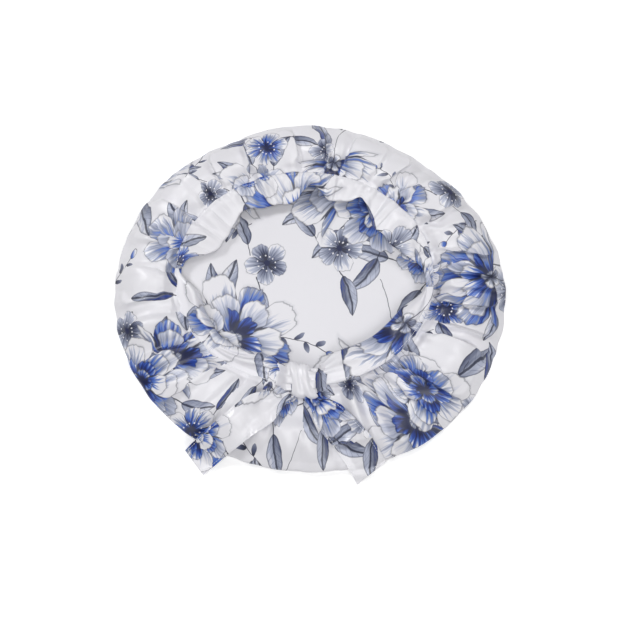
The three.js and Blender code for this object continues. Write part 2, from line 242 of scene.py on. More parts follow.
crease_wander = 0.22 * np.sin(2 * np.pi * 11 * np.arange(pleat_count + 1) / pleat_count)
creases = 2 * np.pi * (np.arange(pleat_count + 1) + crease_wander) / pleat_count
creases[-1] = creases[0] + 2 * np.pi
fullness = random.uniform(0.55, 1.4, pleat_count)
ridge_place = random.uniform(0.25, 0.7, pleat_count)
sharpness = random.uniform(0.6, 1.9, pleat_count)
runs_out = random.uniform(0.1, 1.0, pleat_count)
pleat_bearing = np.degrees((creases[:-1] + creases[1:]) / 2)
at_back = (pleat_bearing > 52) & (pleat_bearing < 150)
at_left = (pleat_bearing >= 150) & (pleat_bearing < 222)
at_right = (pleat_bearing < 40) | (pleat_bearing > 338)
# The pleats are low and sharp along the back, and fuller and softer at the two sides
for where, full, sharp, reach in (
    (at_back, (0.25, 0.65), (1.1, 2.0), (0.2, 0.6)),
    (at_left, (0.7, 1.3), (0.9, 1.5), (0.2, 0.6)),
    (at_right, (0.8, 1.4), (0.9, 1.3), (0.2, 0.6)),
):
    fullness[where] = random.uniform(*full, where.sum())
    sharpness[where] = random.uniform(*sharp, where.sum())
    runs_out[where] = random.uniform(*reach, where.sum())


def patches(rows, columns):
    """Random heights on a grid round the ring, from -1 to 1."""
    return random.uniform(-1, 1, (rows + 1, columns))


def soft_noise(table, a, s):
    """The heights of a grid of patches, with soft slopes between them. s is 0 at its first row."""
    rows, columns = table.shape[0] - 1, table.shape[1]
    across, down = (a / (2 * np.pi) * columns) % columns, np.clip(s, 0, 1) * rows
    i, j = np.minimum(down.astype(int), rows - 1), across.astype(int) % columns
    u, v = smooth(across - np.floor(across)), smooth(down - i)
    near_row = lerp(table[i, j], table[i, (j + 1) % columns], u)
    far_row = lerp(table[i + 1, j], table[i + 1, (j + 1) % columns], u)
    return lerp(near_row, far_row, v)


sway, swell = patches(3, 22), patches(4, 34)
long_wrinkles, fine_wrinkles, gathers = patches(3, 70), patches(3, 150), patches(2, 118)


def slant(a, s):
    """How far a pleat has swung round, away from the seam."""
    return (1 - s) * (0.06 * np.sin(2 * a + 0.6) + 0.04 * np.sin(5 * a + 2)) + 0.028 * (
        soft_noise(sway, a, s) * smooth((1 - s) / 0.2)
    )


def pleat_at(a, s):
    """Which pleat a point is on, and how far across it from 0 to 1."""
    turned = (a + slant(a, s) - creases[0]) % (2 * np.pi) + creases[0]
    k = np.clip(np.searchsorted(creases, turned, side="right") - 1, 0, pleat_count - 1)
    return k, (turned - creases[k]) / (creases[k + 1] - creases[k])


def ridge(a, s):
    """The rise of a pleat over its creases, from 0 to 1, without its growth to the seam."""
    k, t = pleat_at(a, s)
    top = ridge_place[k]
    t = np.where(t < top, 0.5 * t / top, 0.5 + 0.5 * (t - top) / (1 - top))
    return k, np.sin(np.pi * np.clip(t, 0, 1)) ** sharpness[k]


def ring_rise(s):
    """Height of the ring's cloth without its pleats. s is 0 at the fold and 1 at the seam."""
    climb = 2 * fold_radius + (ring_height - 2 * fold_radius) * np.sin(
        np.clip(s / crest, 0, 1) * np.pi / 2
    )
    fall = np.cos(np.clip((s - crest) / (1 - crest), 0, 1) * np.pi / 2) ** 2
    return np.where(s < crest, climb, lerp(seam_height, ring_height, fall))


def small_folds(a, s):
    """Slack in the cloth: soft radial wrinkles, and finer gathers that start at the seam."""
    long = 1.3 * soft_noise(long_wrinkles, a + 0.1 * s, s) * np.sin(np.pi * np.clip(s, 0, 1)) ** 0.35
    fine = 0.2 * soft_noise(fine_wrinkles, a - 0.08 * s, s) * smooth(s / 0.15)
    close = lerp(1.3, 0.8, along_back(a)) * soft_noise(gathers, a, s) * smooth((s - 0.45) / 0.4)
    return mm * (lerp(1, 0.55, along_back(a)) * long + fine + close)


long_folds = [
    # bearing at the outer fold and at the seam in degrees, height in mm, and how far the fold
    # spreads to its right and to its left in degrees
    (12.5, 20, 4.2, 0.9, 5.5),
    (25, 29, 3.0, 1.5, 4),
    (34, 33, 3.2, 1.5, 4.5),
    (40.5, 47, 3.0, 4.5, 1.5),
    (53.5, 58.5, 3.6, 1.3, 5),
    (63, 64.5, 2.2, 1.6, 4),
    (72, 73.2, 2.8, 4.5, 1.3),
    (79, 77.5, 1.8, 3, 2),
    (87.6, 84, 3.0, 1.3, 5),
    (98.8, 96.2, 3.6, 1.6, 5),
    (111.9, 113.8, 4.4, 5.5, 1.2),
    (124.2, 127.5, 3.8, 5.5, 1.3),
    (138.5, 135.5, 4.2, 1.4, 6),
    (150, 149, 3.0, 1.6, 5),
    (161.2, 159.5, 2.6, 3.5, 1.8),
    (173.4, 172.5, 2.4, 2, 3.5),
    (182.6, 180.5, 2.4, 3.5, 1.5),
    (191, 189, 2.2, 2, 3),
    (204, 203, 2.4, 2, 3),
    (216, 219, 2.6, 3, 1.8),
    (229, 231, 2.6, 2, 3),
    (240, 241, 2.2, 3, 2),
    (290, 292, 2.4, 3, 1.8),
    (301, 304, 2.6, 1.8, 4),
    (313, 309, 3.0, 4.5, 1.8),
    (327, 321, 3.6, 1.8, 5.5),
    (338, 340, 3.0, 4.5, 1.6),
    (348, 349, 3.4, 1.4, 4),
    (357, 355.5, 3.8, 0.9, 4),
    (361.8, 362.5, 3.0, 0.9, 3),
    (366.5, 369.5, 4.2, 0.9, 4),
]


def along_back(a):
    """1 where the casing is, and 0 along the bands."""
    degrees = np.degrees(a) % 360
    return smooth((degrees - 12) / 14) * smooth((164 - degrees) / 14)


def along_front(a):
    """1 where the right band is, from the knot round to the casing."""
    degrees = (np.degrees(a) - 268) % 360
    return smooth(degrees / 8) * smooth((106 - degrees) / 8)


def flank(a, s, outer, inner, right, left):
    """The rise of one long pleat, from 0 at its feet to 1 along its rounded crest."""
    away = np.degrees(turned_to(a, np.radians(lerp(outer, inner, s))))
    part = np.clip(1 - np.abs(away) / (1.8 * np.where(away < 0, right, left)), 0, 1)
    return (1.005 - np.hypot(1 - part, 0.1)) / 0.905


def folded_over(a, s):
    """How far each long pleat's crest lies over its steep side, as a turn about the middle. Under
    the tails the pleats are pressed upright."""
    lean = 0
    for outer, inner, _, right, left in long_folds:
        steep, sharp = min(right, left), np.clip(abs(left - right) / 3 - 0.3, 0, 1)
        over = 2.6 * steep * sharp * flank(a, s, outer, inner, right, left) ** 1.5
        lean = lean + (over if left < right else -over)
    free = np.clip(1 - 1.2 * near(a, 222, 24) - 1.2 * near(a, 303, 24), 0, 1)
    free = free * lerp(1, 0.6, along_back(a)) * (1 - smooth((s - 0.68) / 0.16))
    return np.radians(lean) * free * smooth((s - 0.04) / 0.15)


def drawn_folds(a, s):
    """The long pleats that stand out, each with a steep side and a gentle one."""
    rise = 0
    for outer, inner, height, right, left in long_folds:
        part = flank(a, s, outer, inner, right, left)
        rise = rise + height * lerp(part, smooth(part), 0.35)
    ending = lerp(0.8, 0.45, along_back(a)) * smooth((s - 0.84) / 0.12)
    tall = lerp(2, 1.3, along_back(a) * smooth((s - 0.2) / 0.3))
    return tall * rise * mm * smooth(s / 0.07) * (1 - ending)


def ring_surface(a, s):
    """Height of the outer face of the ring, pleats and all. It is puffed up at the lower right,
    lower beside the right band, full between the tails and pressed flat under the knot."""
    k, rise = ridge(a, s)
    s = np.clip(s, 0, 1)
    growth = lerp(s / 0.75, 1, 0.42 * runs_out[k] * smooth(s / 0.25))
    bound = 1 - along_back(a)
    growth = np.minimum(growth, 1) * (1 - lerp(0.3, 0.55, bound) * smooth((s - 0.93) / 0.07))
    puff = near(a, 322, 20)
    between = near(a, 266, 7)
    height = pleat_height * fullness[k] * (1 - 0.7 * puff) * (1 + 0.3 * soft_noise(swell, a, s))
    free = ring_rise(s) + height * (rise * growth - 0.12)
    held = lerp(0.5, 1, bound) * smooth((s - 0.93) / 0.05)
    free = free + small_folds(a, s) * (1 - held) + drawn_folds(a, s)
    lip = smooth((s - 0.55) / 0.35) * (1 - smooth((s - 0.955) / 0.04))
    front = along_front(a)
    free = free + 1.3 * mm * bound * (1 - front) * lip
    free = free - mm * (3.8 * front + 1.8 * near(a, 292, 20)) * smooth((s - 0.87) / 0.1)
    free = free - mm * 4.5 * near(a, 3, 8) * smooth((s - 0.74) / 0.16)
    wrinkle = np.sin(10 * s + 7 * a + 1.5 * np.sin(9 * a)) * np.sin(np.pi * s)
    free = free + puff * np.sin(np.pi * s) * mm * (2.6 + 2.2 * wrinkle)
    away = turned_to(a, knot_bearing) / knot_spread
    under_knot = np.exp(-(away**4)) * smooth((s - 0.42) / 0.3)
    shell = np.sin(np.pi * np.clip(s / 0.75, 0, 1)) * (1 + 0.25 * np.sin(40 * a + 9 * s))
    free = free + between * 4.2 * mm * shell
    free = free - near(a, 280.5, 2.6) * 6.5 * mm * np.sin(np.pi * np.clip((s - 0.04) / 0.7, 0, 1))
    pressed = np.minimum(ring_rise(s), seam_height)
    return lerp(free, pressed, under_knot)


def pick(piece):
    """Makes a piece the only one that the next operator works on."""
    bpy.ops.object.select_all(action="DESELECT")
    bpy.context.view_layer.objects.active = piece
    piece.select_set(True)


def grid_piece(name, points, uv):
    """A smooth mesh from rows of points, each row closed on itself, with what meets merged and its
    faces turned out. uv holds the flat cloth's place of each face's four corners."""
    rows, columns = points.shape[:2]
    i, j = np.meshgrid(np.arange(rows - 1), np.arange(columns), indexing="ij")
    corner = lambda di, dj: (i + di) * columns + (j + dj) % columns
    faces = np.stack([corner(0, 0), corner(0, 1), corner(1, 1), corner(1, 0)], axis=-1)
    mesh = bpy.data.meshes.new(name)
    mesh.from_pydata(points.reshape(-1, 3).tolist(), [], faces.reshape(-1, 4).tolist())
    mesh.uv_layers.new(name="cloth").data.foreach_set("uv", uv.reshape(-1).astype(np.float32))
    piece = bpy.data.objects.new(name, mesh)
    bpy.context.collection.objects.link(piece)
    pick(piece)
    bpy.ops.object.mode_set(mode="EDIT")
    bpy.ops.mesh.select_all(action="SELECT")
    bpy.ops.mesh.remove_doubles(threshold=0.001 * mm)
    bpy.ops.mesh.normals_make_consistent(inside=False)
    bpy.ops.object.mode_set(mode="OBJECT")
    bpy.ops.object.shade_smooth()
    return piece


def corners(values):
    """The four corners of each face, from a value at each point of the grid."""
    return np.stack([values[:-1, :-1], values[:-1, 1:], values[1:, 1:], values[1:, :-1]], axis=2)


def give_thickness(piece):
    """A cloth's other face and its edge, on the inside of the face that is there."""
    pick(piece)
    wall = piece.modifiers.new("cloth", "SOLIDIFY")
    wall.thickness = woven
    wall.offset = -1
    bpy.ops.object.modifier_apply(modifier=wall.name)
    bpy.ops.object.shade_smooth()


def stand_for(piece, node, body):
    """Hides the part of the model that a piece stands for, and puts the piece on the body that it
    moves with.
    """
    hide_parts(node)
    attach(piece, body)


def crown_grid(columns, base_shares, ring_shares, depth):
    """Rows of points of a crown cloth, depth inside the outer one, and their flat distances."""
    a = np.linspace(0, 2 * np.pi, columns + 1)
    fold = fold_line(a)
    seam = seam_line(a) + seam_margin
    k, rise = ridge(a, np.zeros_like(a))
    scallop = edge_scallop * fullness[k] * (rise - 0.6) + 0.15 * drawn_folds(a, np.full_like(a, 0.1))
    rows, places = [], []
    for share in base_shares:
        rows.append(at(a, fold * share, depth + 0 * a))
        places.append((share, 0.0))
    bend = fold_radius - depth
    for turn in np.radians((-60, -30, 0, 22, 40, 56)):
        out = bend * np.cos(turn) + scallop * smooth((turn + 1) / 2)
        rows.append(at(a, fold + out, fold_radius + bend * np.sin(turn) + 0 * a))
        places.append((1.0, 0.0))
    for s in ring_shares:
        shift = scallop * (1 - smooth(s / 0.3))
        places_in = s + 0 * a
        height = ring_surface(a, places_in) - depth
        if depth:
            height = height - 0.5 * drawn_folds(a, places_in)
        rows.append(at(a + folded_over(a, places_in), lerp(fold, seam, s) + shift, height))
        places.append((1.0, s))
    rows.append(at(a, seam_line(a) - grip_depth, seam_height - depth + 0 * a))
    places.append((1.0, 1.0))
    return a, np.stack(rows), np.array(places)


def crown_cloth(points, places, a):
    """Where each corner of the grid lies on the flat round that the crown is cut from. The cloth
    that a pleat hides is skipped at its crease, so the print jumps there as it does on cloth."""
    run = np.linalg.norm(np.diff(points, axis=0), axis=2).mean(axis=1)
    distance = np.concatenate([[0], np.cumsum(run)]) + fold_line(a).mean() * places[0, 0]
    distance = distance * cut_radius / distance[-1]
    bearing = corners(np.broadcast_to(a, points.shape[:2]))
    s = places[:, 1]
    middle_a = (a[:-1] + a[1:])[None, :] / 2 + 0 * s[:-1, None]
    middle_s = (s[:-1] + s[1:])[:, None] / 2 + 0 * middle_a
    k, _ = pleat_at(middle_a, middle_s)
    pleat_middle = ((creases[:-1] + creases[1:]) / 2)[k] - slant(middle_a, middle_s)
    pleat_middle = middle_a + turned_to(pleat_middle, middle_a)
    lying = np.linalg.norm(points[..., :2] - crown_middle, axis=2).mean(axis=1)
    share = np.minimum(1, 1.45 * lying / np.maximum(distance, mm))
    share = lerp(1, share, smooth((s - 0.1) / 0.4))
    share = corners(np.broadcast_to(share[:, None], points.shape[:2]))
    flat = pleat_middle[..., None] + (bearing - pleat_middle[..., None]) * share
    radius = corners(np.broadcast_to(distance[:, None], points.shape[:2]))
    return np.stack([radius * np.cos(flat), radius * np.sin(flat)], axis=-1)


base_shares = [0.0, 0.15, 0.35, 0.55, 0.72, 0.86, 0.95, 1.0]
ring_shares = np.concatenate([np.linspace(0.04, 0.88, 32), np.linspace(0.9, 1.0, 7)])
a, points, places = crown_grid(816, base_shares, ring_shares, 0)
outer_uv = crown_cloth(points, places, a)
outer_cloth = grid_piece("outer_cloth", points[:, :-1], outer_uv)
give_thickness(outer_cloth)
stand_for(outer_cloth, "outer_shell", "cap")


# The print. The cloth is printed before it is cut, in a repeat of sprays: full blooms, blooms seen
# from their side, small blossoms, leaves on their stalks and thin twigs, in blues and cool greys.
repeat = np.array((300, 320)) * mm
blooms = [
    # place in the repeat in mm, turn in degrees, radius in mm, kind: 0 full bloom, 1 from its side
    (128, 112, 35, 35, 1),
    (78, 84, 20, 43, 0),
    (172, 268, 140, 36, 1),
    (264, 206, 60, 31, 0),
    (218, 238, 130, 44, 0),
    (242, 62, 255, 38, 1),
    (206, 34, 300, 30, 0),
    (56, 246, 200, 36, 1),
    (20, 222, 300, 28, 0),
]
blossoms = [
    # place in mm, turn in degrees, radius in mm, kind: 0 grey, 1 blue
    (36, 126, 10, 22, 1),
    (112, 46, 45, 20, 0),
    (188, 196, 100, 21, 0),
    (262, 268, 0, 22, 1),
    (270, 96, 33, 19, 0),
    (92, 268, 60, 22, 0),
    (34, 290, 15, 20, 1),
    (128, 172, 80, 20, 0),
]
twigs = [
    # place in mm, turn in degrees, half length in mm
    (176, 104, 350, 28),
    (24, 32, 110, 28),
    (292, 150, 20, 30),
    (118, 306, 310, 26),
    (84, 196, 200, 26),
]


def leaves_of(x, y, turn, radius, bearings, lengths):
    """The leaves round a flower, on stalks that start under it."""
    for n, (bearing, length) in enumerate(zip(bearings, lengths)):
        toward = math.radians(bearing + turn)
        away = radius * 0.66 + length
        lean = (14, -20, 10, -12, 20, -8)[n]
        seed = (n * 0.37 + x * 0.013 + y * 0.007) % 0.98
        x_place, y_place = x + away * math.cos(toward), y + away * math.sin(toward)
        yield x_place, y_place, bearing + turn + lean, length, seed


leaves = []
for x, y, turn, radius, kind in blooms:
    if kind == 0:
        leaves += leaves_of(x, y, turn, radius, (50, 135, 250, 325), (31, 26, 29, 24))
        leaves += leaves_of(x, y, turn, radius, (92, 205, 290), (24, 27, 22))
    else:
        leaves += leaves_of(x, y, turn, radius, (168, 105), (32, 24))
for x, y, turn, radius, kind in blossoms:
    leaves += leaves_of(x, y, turn, radius, (185, 60), (24, 20))


def seeded(motifs, kind):
    """The motifs of one kind, each with a seed of its own."""
    return [(x, y, turn, r, (x * 0.17 + y * 0.29) % 0.98) for x, y, turn, r, k in motifs if k == kind]


print_layers = {
    # for each layer, how many motifs may lie over each other, how much longer than wide they are,
    # and their places
    "twig": (2, 2.2, [(x, y, turn, half, (x * 0.31) % 0.98) for x, y, turn, half in twigs]),
    "leaf": (3, 2.2, leaves),
    "grey_blossom": (1, 1, seeded(blossoms, 0)),
    "blue_blossom": (1, 1, seeded(blossoms, 1)),
    "side_bloom": (1, 1, seeded(blooms, 1)),
    "full_bloom": (1, 1, seeded(blooms, 0)),
}


def on_axes(x, y, bearing):
    """A place as it lies to axes that are turned by a bearing."""
    c, s = np.cos(bearing), np.sin(bearing)
    return x * c + y * s, y * c - x * s


def lay_print(piece, material, shift, turn):
    """Marks on each corner of a piece's faces where it lies on the nearest motifs of each layer.
    shift in metres and turn in degrees say where in the printed cloth the piece was cut."""
    piece.data.materials.append(material)
    mesh = piece.data
    uv = np.empty(2 * len(mesh.loops), np.float32)
    mesh.uv_layers["cloth"].data.foreach_get("uv", uv)
    uv = uv.reshape(-1, 2).astype(float)
    uv = np.stack(on_axes(*uv.T, -math.radians(turn)), axis=1) + np.array(shift)
    sides = np.empty(len(mesh.polygons), np.int32)
    mesh.polygons.foreach_get("loop_total", sides)
    starts = np.empty(len(mesh.polygons), np.int32)
    mesh.polygons.foreach_get("loop_start", starts)
    middle = np.add.reduceat(uv, starts, axis=0) / sides[:, None]
    owner = np.repeat(np.arange(len(sides)), sides)
    for layer, (ranks, slimness, motifs) in print_layers.items():
        table = np.array(motifs)
        places, turns = table[:, :2] * mm, np.radians(table[:, 2])
        distance = np.empty((len(motifs), len(sides)), np.float32)
        for n, (place, bearing) in enumerate(zip(places, turns)):
            offset = (middle - place + repeat / 2) % repeat - repeat / 2
            along, across = on_axes(*offset.T, bearing)
            distance[n] = np.hypot(along, across * slimness) / table[n, 3]
        nearest = np.sort(np.argpartition(distance, ranks - 1, axis=0)[:ranks], axis=0)
        for rank, choice in enumerate(nearest):
            away = (middle - places[choice] + repeat / 2) % repeat - repeat / 2
            local = (uv - middle[owner] + away[owner]) / (table[choice, 3] * mm)[owner, None]
            along, across = on_axes(*local.T, turns[choice][owner])
            placed = np.stack([along, across, table[choice, 4][owner]], axis=1)
            mark = mesh.attributes.new(f"{layer}_{rank}", "FLOAT_VECTOR", "CORNER")
            mark.data.foreach_set("vector", np.clip(placed, -4, 4).reshape(-1).astype(np.float32))


def feed(slot, value):
    """Gives a node's input a wire or a plain value."""
    if isinstance(value, Wire):
        value.tree.links.new(value.socket, slot)
    else:
        slot.default_value = value


class Wire:
    """One value among a material's nodes, so that a motif can be written as sums."""

    def __init__(self, tree, socket):
        self.tree = tree
        self.socket = socket

    def op(self, operation, *others, clamp=False):
        node = self.tree.nodes.new("ShaderNodeMath")
        node.operation = operation
        node.use_clamp = clamp
        for slot, value in zip(node.inputs, (self, *others)):
            feed(slot, value)
        return Wire(self.tree, node.outputs[0])

    def __add__(self, other):
        return self.op("ADD", other)

    def __sub__(self, other):
        return self.op("SUBTRACT", other)

    def __mul__(self, other):
        return self.op("MULTIPLY", other)

    def __truediv__(self, other):
        return self.op("DIVIDE", other)

    def __rsub__(self, other):
        return self * -1.0 + other

    __radd__ = __add__
    __rmul__ = __mul__

    def abs(self):
        return self.op("ABSOLUTE")

    def upto(self, sharp=1.0):
        """0 below nothing, rising to 1, at the rate sharp."""
        return self.op("MULTIPLY", sharp, clamp=True)


def ink(red, green, blue):
    """A printed colour, from 0 to 255, as the renderer counts it."""
    share = np.array((red, green, blue)) / 255
    linear = np.where(share <= 0.04045, share / 12.92, ((share + 0.055) / 1.055) ** 2.4)
    return (*linear.tolist(), 1.0)


white = ink(228, 227, 232)
navy = ink(13, 24, 70)
cobalt = ink(34, 64, 152)
cornflower = ink(84, 120, 198)
mist = ink(184, 189, 208)
slate = ink(80, 87, 116)
charcoal = ink(38, 42, 64)
ash = ink(140, 146, 166)


def ramp(value, stops):
    """A colour that follows a value through the inks given, each with its place from 0 to 1."""
    node = value.tree.nodes.new("ShaderNodeValToRGB")
    elements = node.color_ramp.elements
    while len(elements) < len(stops):
        elements.new(0.5)
    for element, (place, colour) in zip(elements, stops):
        element.position = place
        element.color = colour
    feed(node.inputs["Fac"], value)
    return Wire(value.tree, node.outputs["Color"])


def over(under, colour, mask):
    """Lays a colour over what is under it, where the mask is 1."""
    node = mask.tree.nodes.new("ShaderNodeMix")
    node.data_type = "RGBA"
    for name, value in (("Factor", mask), ("A", under), ("B", colour)):
        feed(node.inputs[name], value)
    return Wire(mask.tree, node.outputs["Result"])


def joined(x, y, z):
    """Three values as one place."""
    node = x.tree.nodes.new("ShaderNodeCombineXYZ")
    for slot, value in zip(node.inputs, (x, y, z)):
        feed(slot, value)
    return Wire(x.tree, node.outputs[0])


def mottle(place, scale, detail=1.0):
    """A soft unevenness from 0 to 1, like dye that has run."""
    node = place.tree.nodes.new("ShaderNodeTexNoise")
    node.inputs["Scale"].default_value = scale
    node.inputs["Detail"].default_value = detail
    feed(node.inputs["Vector"], place)
    return Wire(place.tree, node.outputs["Fac"])


def node_group(name, inputs, outputs, build):
    """A group of nodes that is written once and used many times. outputs gives each one's type."""
    tree = bpy.data.node_groups.new(name, "ShaderNodeTree")
    kinds = {"value": "NodeSocketFloat", "colour": "NodeSocketColor"}
    for label in inputs:
        kind = kinds["colour" if label == "under" else "value"]
        tree.interface.new_socket(label, in_out="INPUT", socket_type=kind)
    for label, kind in outputs.items():
        tree.interface.new_socket(label, in_out="OUTPUT", socket_type=kinds[kind])
    start, end = tree.nodes.new("NodeGroupInput"), tree.nodes.new("NodeGroupOutput")
    results = build(*(Wire(tree, start.outputs[label]) for label in inputs))
    for label, result in zip(outputs, results):
        feed(end.inputs[label], result)
    return tree


def grouped(group, tree, *values):
    """Puts a group into a tree, and gives back what comes out of it."""
    node = tree.nodes.new("ShaderNodeGroup")
    node.node_tree = group
    for slot, value in zip(node.inputs, values):
        feed(slot, value)
    return [Wire(tree, socket) for socket in node.outputs]


# The width of a drawn line, as a share of its motif's radius
line_width = 0.038


def petal_shape(x, y, seed, petals, reach, turn, frill, fan):
    """One ring of petals: its tone, how much ink its lines take, and how far inside it a place is.
    fan narrows the ring to that share of a turn, about +X."""
    distance = (x * x + y * y).op("SQRT").op("MAXIMUM", 0.001)
    bearing = y.op("ARCTAN2", x) / (2 * math.pi) + 0.5
    place = (bearing * petals + turn).op("FLOORED_MODULO", petals)
    index = place.op("FLOOR")
    across = place.op("FRACT") - 0.5
    own = ((index * 2.731 + seed * 51.3 + petals).op("SINE") * 437.5).op("FRACT")
    ragged = mottle(joined(across * 6.0 + index * 3.1, seed * 9.0, own), 1.0, 2.0) - 0.5
    taper = (across.abs() * 2.0).op("POWER", 3.0) * 0.34
    edge = (1.0 - taper + ragged * frill + (own - 0.5) * 0.2) * reach
    depth = distance / edge
    streak = mottle(joined(across * 13.0 + index * 5.0, depth * 1.3, seed * 7.0), 1.0, 2.0) - 0.5
    tone = depth + streak * 1.15 + (own - 0.5) * 0.6 + across * 0.3
    wedge = (fan * math.pi - (bearing - 0.5).abs() * (2 * math.pi)) * distance
    inside = (edge - distance).op("MINIMUM", wedge)
    rim = 1.0 - (inside.abs() / line_width).upto()
    gap_line = (across.abs() - 0.5) * distance * (2 * math.pi) / petals
    side = (gap_line + line_width * 0.8).upto(60.0) * (depth * 1.6).upto()
    return tone, rim.op("MAXIMUM", side) * 0.95, inside


petal_group = node_group(
    "petals",
    ("x", "y", "seed", "petals", "reach", "turn", "frill", "fan"),
    {"tone": "value", "ink": "value", "inside": "value"},
    petal_shape,
)


def petal_ring(under, x, y, seed, petals, reach, turn, inks, frill=0.2, fan=2.2):
    """Lays one painted ring of petals over what is there, with a soft shade round it."""
    tone, line, inside = grouped(petal_group, x.tree, x, y, seed, petals, reach, turn, frill, fan)
    colour = over(ramp(tone, inks), charcoal, line)
    shade = (inside + 0.05).upto(20.0) * 0.16
    return over(over(under, slate, shade), colour, inside.upto(70.0))


strong = [(0.3, navy), (0.5, cobalt), (0.64, cornflower), (0.78, ash), (0.92, mist), (1, white)]
bold = [(0.36, navy), (0.62, cobalt), (0.82, cornflower), (0.95, mist), (1, white)]
pale = [(0.08, navy), (0.24, cobalt), (0.36, cornflower), (0.52, ash), (0.76, mist), (1, white)]
grey = [(0.08, charcoal), (0.32, slate), (0.6, ash), (0.86, mist), (1.0, white)]


def full_bloom(under, x, y, seed):
    """A flower with four rings of petals, turned a little from the eye."""
    lean = (seed - 0.5) * 0.34
    colour = petal_ring(under, x, y, seed, 7.0, 0.97, 0.0, pale)
    x1, y1 = x + lean * 0.4, y + 0.05
    colour = petal_ring(colour, x1, y1, seed, 6.0, 0.78, 0.5, strong)
    x2, y2 = x + lean * 0.8, y + 0.09
    colour = petal_ring(colour, x2, y2, seed, 5.0, 0.56, 0.2, bold, frill=0.26)
    return [petal_ring(colour, x2, y2, seed, 4.0, 0.31, 0.7, strong, frill=0.34)]


def side_bloom(under, x, y, seed):
    """A flower seen from its side: fans of petals that open from a small grey cup."""
    x, y = (x + 0.62) / 1.6, y / 1.6
    stalk = (0.012 - (y + x * x * 0.4).abs()).upto(90.0) * (0.02 - x).upto(60.0)
    colour = over(under, charcoal, stalk)
    colour = petal_ring(colour, x, y, seed, 9.0, 0.98, 0.0, strong, fan=0.62)
    colour = petal_ring(colour, x, y + 0.02, seed, 7.0, 0.74, 0.5, pale, fan=0.52)
    colour = petal_ring(colour, x, y - 0.03, seed, 6.0, 0.5, 0.3, bold, frill=0.3, fan=0.4)
    return [petal_ring(colour, x, y, seed, 5.0, 0.17, 0.0, grey)]


def stamens(under, x, y):
    """Dark threads with pale tips round a flower's middle."""
    distance = (x * x + y * y).op("SQRT").op("MAXIMUM", 0.001)
    bearing = (y.op("ARCTAN2", x) / (2 * math.pi) + 0.5) * 11.0
    aside = (bearing.op("FRACT") - 0.5) * distance * (2 * math.pi / 11)
    thread_line = (0.018 - aside.abs()).upto(90.0) * (0.36 - distance).upto(30.0)
    colour = over(under, charcoal, thread_line * 0.9)
    colour = over(colour, navy, (0.15 - distance).upto(25.0))
    reach = bearing.op("FLOOR").op("SINE") * 0.07 + 0.35
    from_tip = (aside * aside + (distance - reach) * (distance - reach)).op("SQRT")
    return over(colour, white, (0.04 - from_tip).upto(90.0))


def grey_blossom(under, x, y, seed):
    """A small flat flower in greys."""
    return [stamens(petal_ring(under, x, y, seed, 5.0, 0.97, 0.3, grey, frill=0.24), x, y)]


def blue_blossom(under, x, y, seed):
    """The same flower with one petal more, in blues."""
    return [stamens(petal_ring(under, x, y, seed, 6.0, 0.97, 0.3, strong, frill=0.24), x, y)]


def leaf_blade(under, x, y, seed):
    """A leaf from its stalk at -1 to its tip at 1, one half of it darker than the other."""
    bend = (1.0 - x * x) * (seed - 0.5) * 0.5
    side = y - bend
    along = (x + 0.5) / 1.5
    width = (along * (1.0 - along)).op("MAXIMUM", 0.0).op("POWER", 0.72) * 0.74
    width = width * (1.35 - along * 0.6)
    streak = mottle(joined(along * 3.0 - side.abs() * 4.0, side * 9.0, seed * 23.0), 1.0, 2.0) - 0.5
    tone = along * 0.5 + side * 1.3 + streak * 0.9 + (seed - 0.5) * 0.5 + 0.32
    leaf_grey = [(0.05, slate), (0.35, ash), (0.7, mist), (1.0, white)]
    leaf_blue = [(0.05, navy), (0.34, cobalt), (0.52, slate), (0.75, ash), (1.0, mist)]
    colour = over(ramp(tone, leaf_grey), ramp(tone, leaf_blue), (seed - 0.62).upto(30.0))
    vein = ((along * 6.0 - side.abs() * 5.0).op("FRACT") - 0.5).abs()
    colour = over(colour, slate, (vein - 0.43).upto(20.0) * 0.55)
    colour = over(colour, charcoal, (line_width * 1.1 - side.abs()).upto(70.0) * 0.9)
    rim = 1.0 - ((width - side.abs()).abs() / (line_width * 1.8)).upto()
    colour = over(colour, charcoal, rim * 0.9)
    on_stalk = (0.0 - along + 0.05).upto(40.0) * (x + 1.0).upto(40.0)
    stalk = (0.028 - side.abs()).upto(60.0) * on_stalk
    return [over(over(under, charcoal, stalk), colour, (width - side.abs()).upto(60.0))]


def thin_twig(under, x, y, seed):
    """A fine bowed stem with small leaves on alternate sides and a bud at its tip."""
    side = y - ((x + 1.0) * 1.7).op("SINE") * 0.16
    cell = (x + 0.9) / 0.36
    parity = cell.op("FLOOR").op("MODULO", 2.0) * 2.0 - 1.0
    along = cell.op("FRACT") * 0.36 - 0.04
    up = side * parity
    turn = math.radians(52)
    u = (along * math.cos(turn) + up * math.sin(turn)) / 0.38
    v = (up * math.cos(turn) - along * math.sin(turn)).abs()
    width = (u * (1.0 - u)).op("MAXIMUM", 0.0).op("POWER", 0.7) * 0.24
    on_twig = (x + 0.9).upto(80.0) * (0.54 - x).upto(80.0)
    stem = (0.018 - side.abs()).upto(90.0) * (x + 1.0).upto(60.0) * (0.7 - x).upto(60.0)
    colour = over(under, charcoal, stem)
    leaf_ink = ramp(u + (seed - 0.5) * 0.4, [(0.1, charcoal), (0.5, slate), (1.0, ash)])
    colour = over(colour, leaf_ink, (width - v).upto(90.0) * on_twig)
    bud = (((x - 0.78) / 0.2).op("POWER", 2.0) + (side / 0.13).op("POWER", 2.0)).op("SQRT")
    bud_ink = ramp(x * 2.2 + side * 1.5 - 1.2, [(0.0, cobalt), (0.4, cornflower), (0.7, white)])
    bud_ink = over(bud_ink, charcoal, (bud - 0.82).upto(12.0))
    return [over(colour, bud_ink, (1.0 - bud).upto(16.0))]


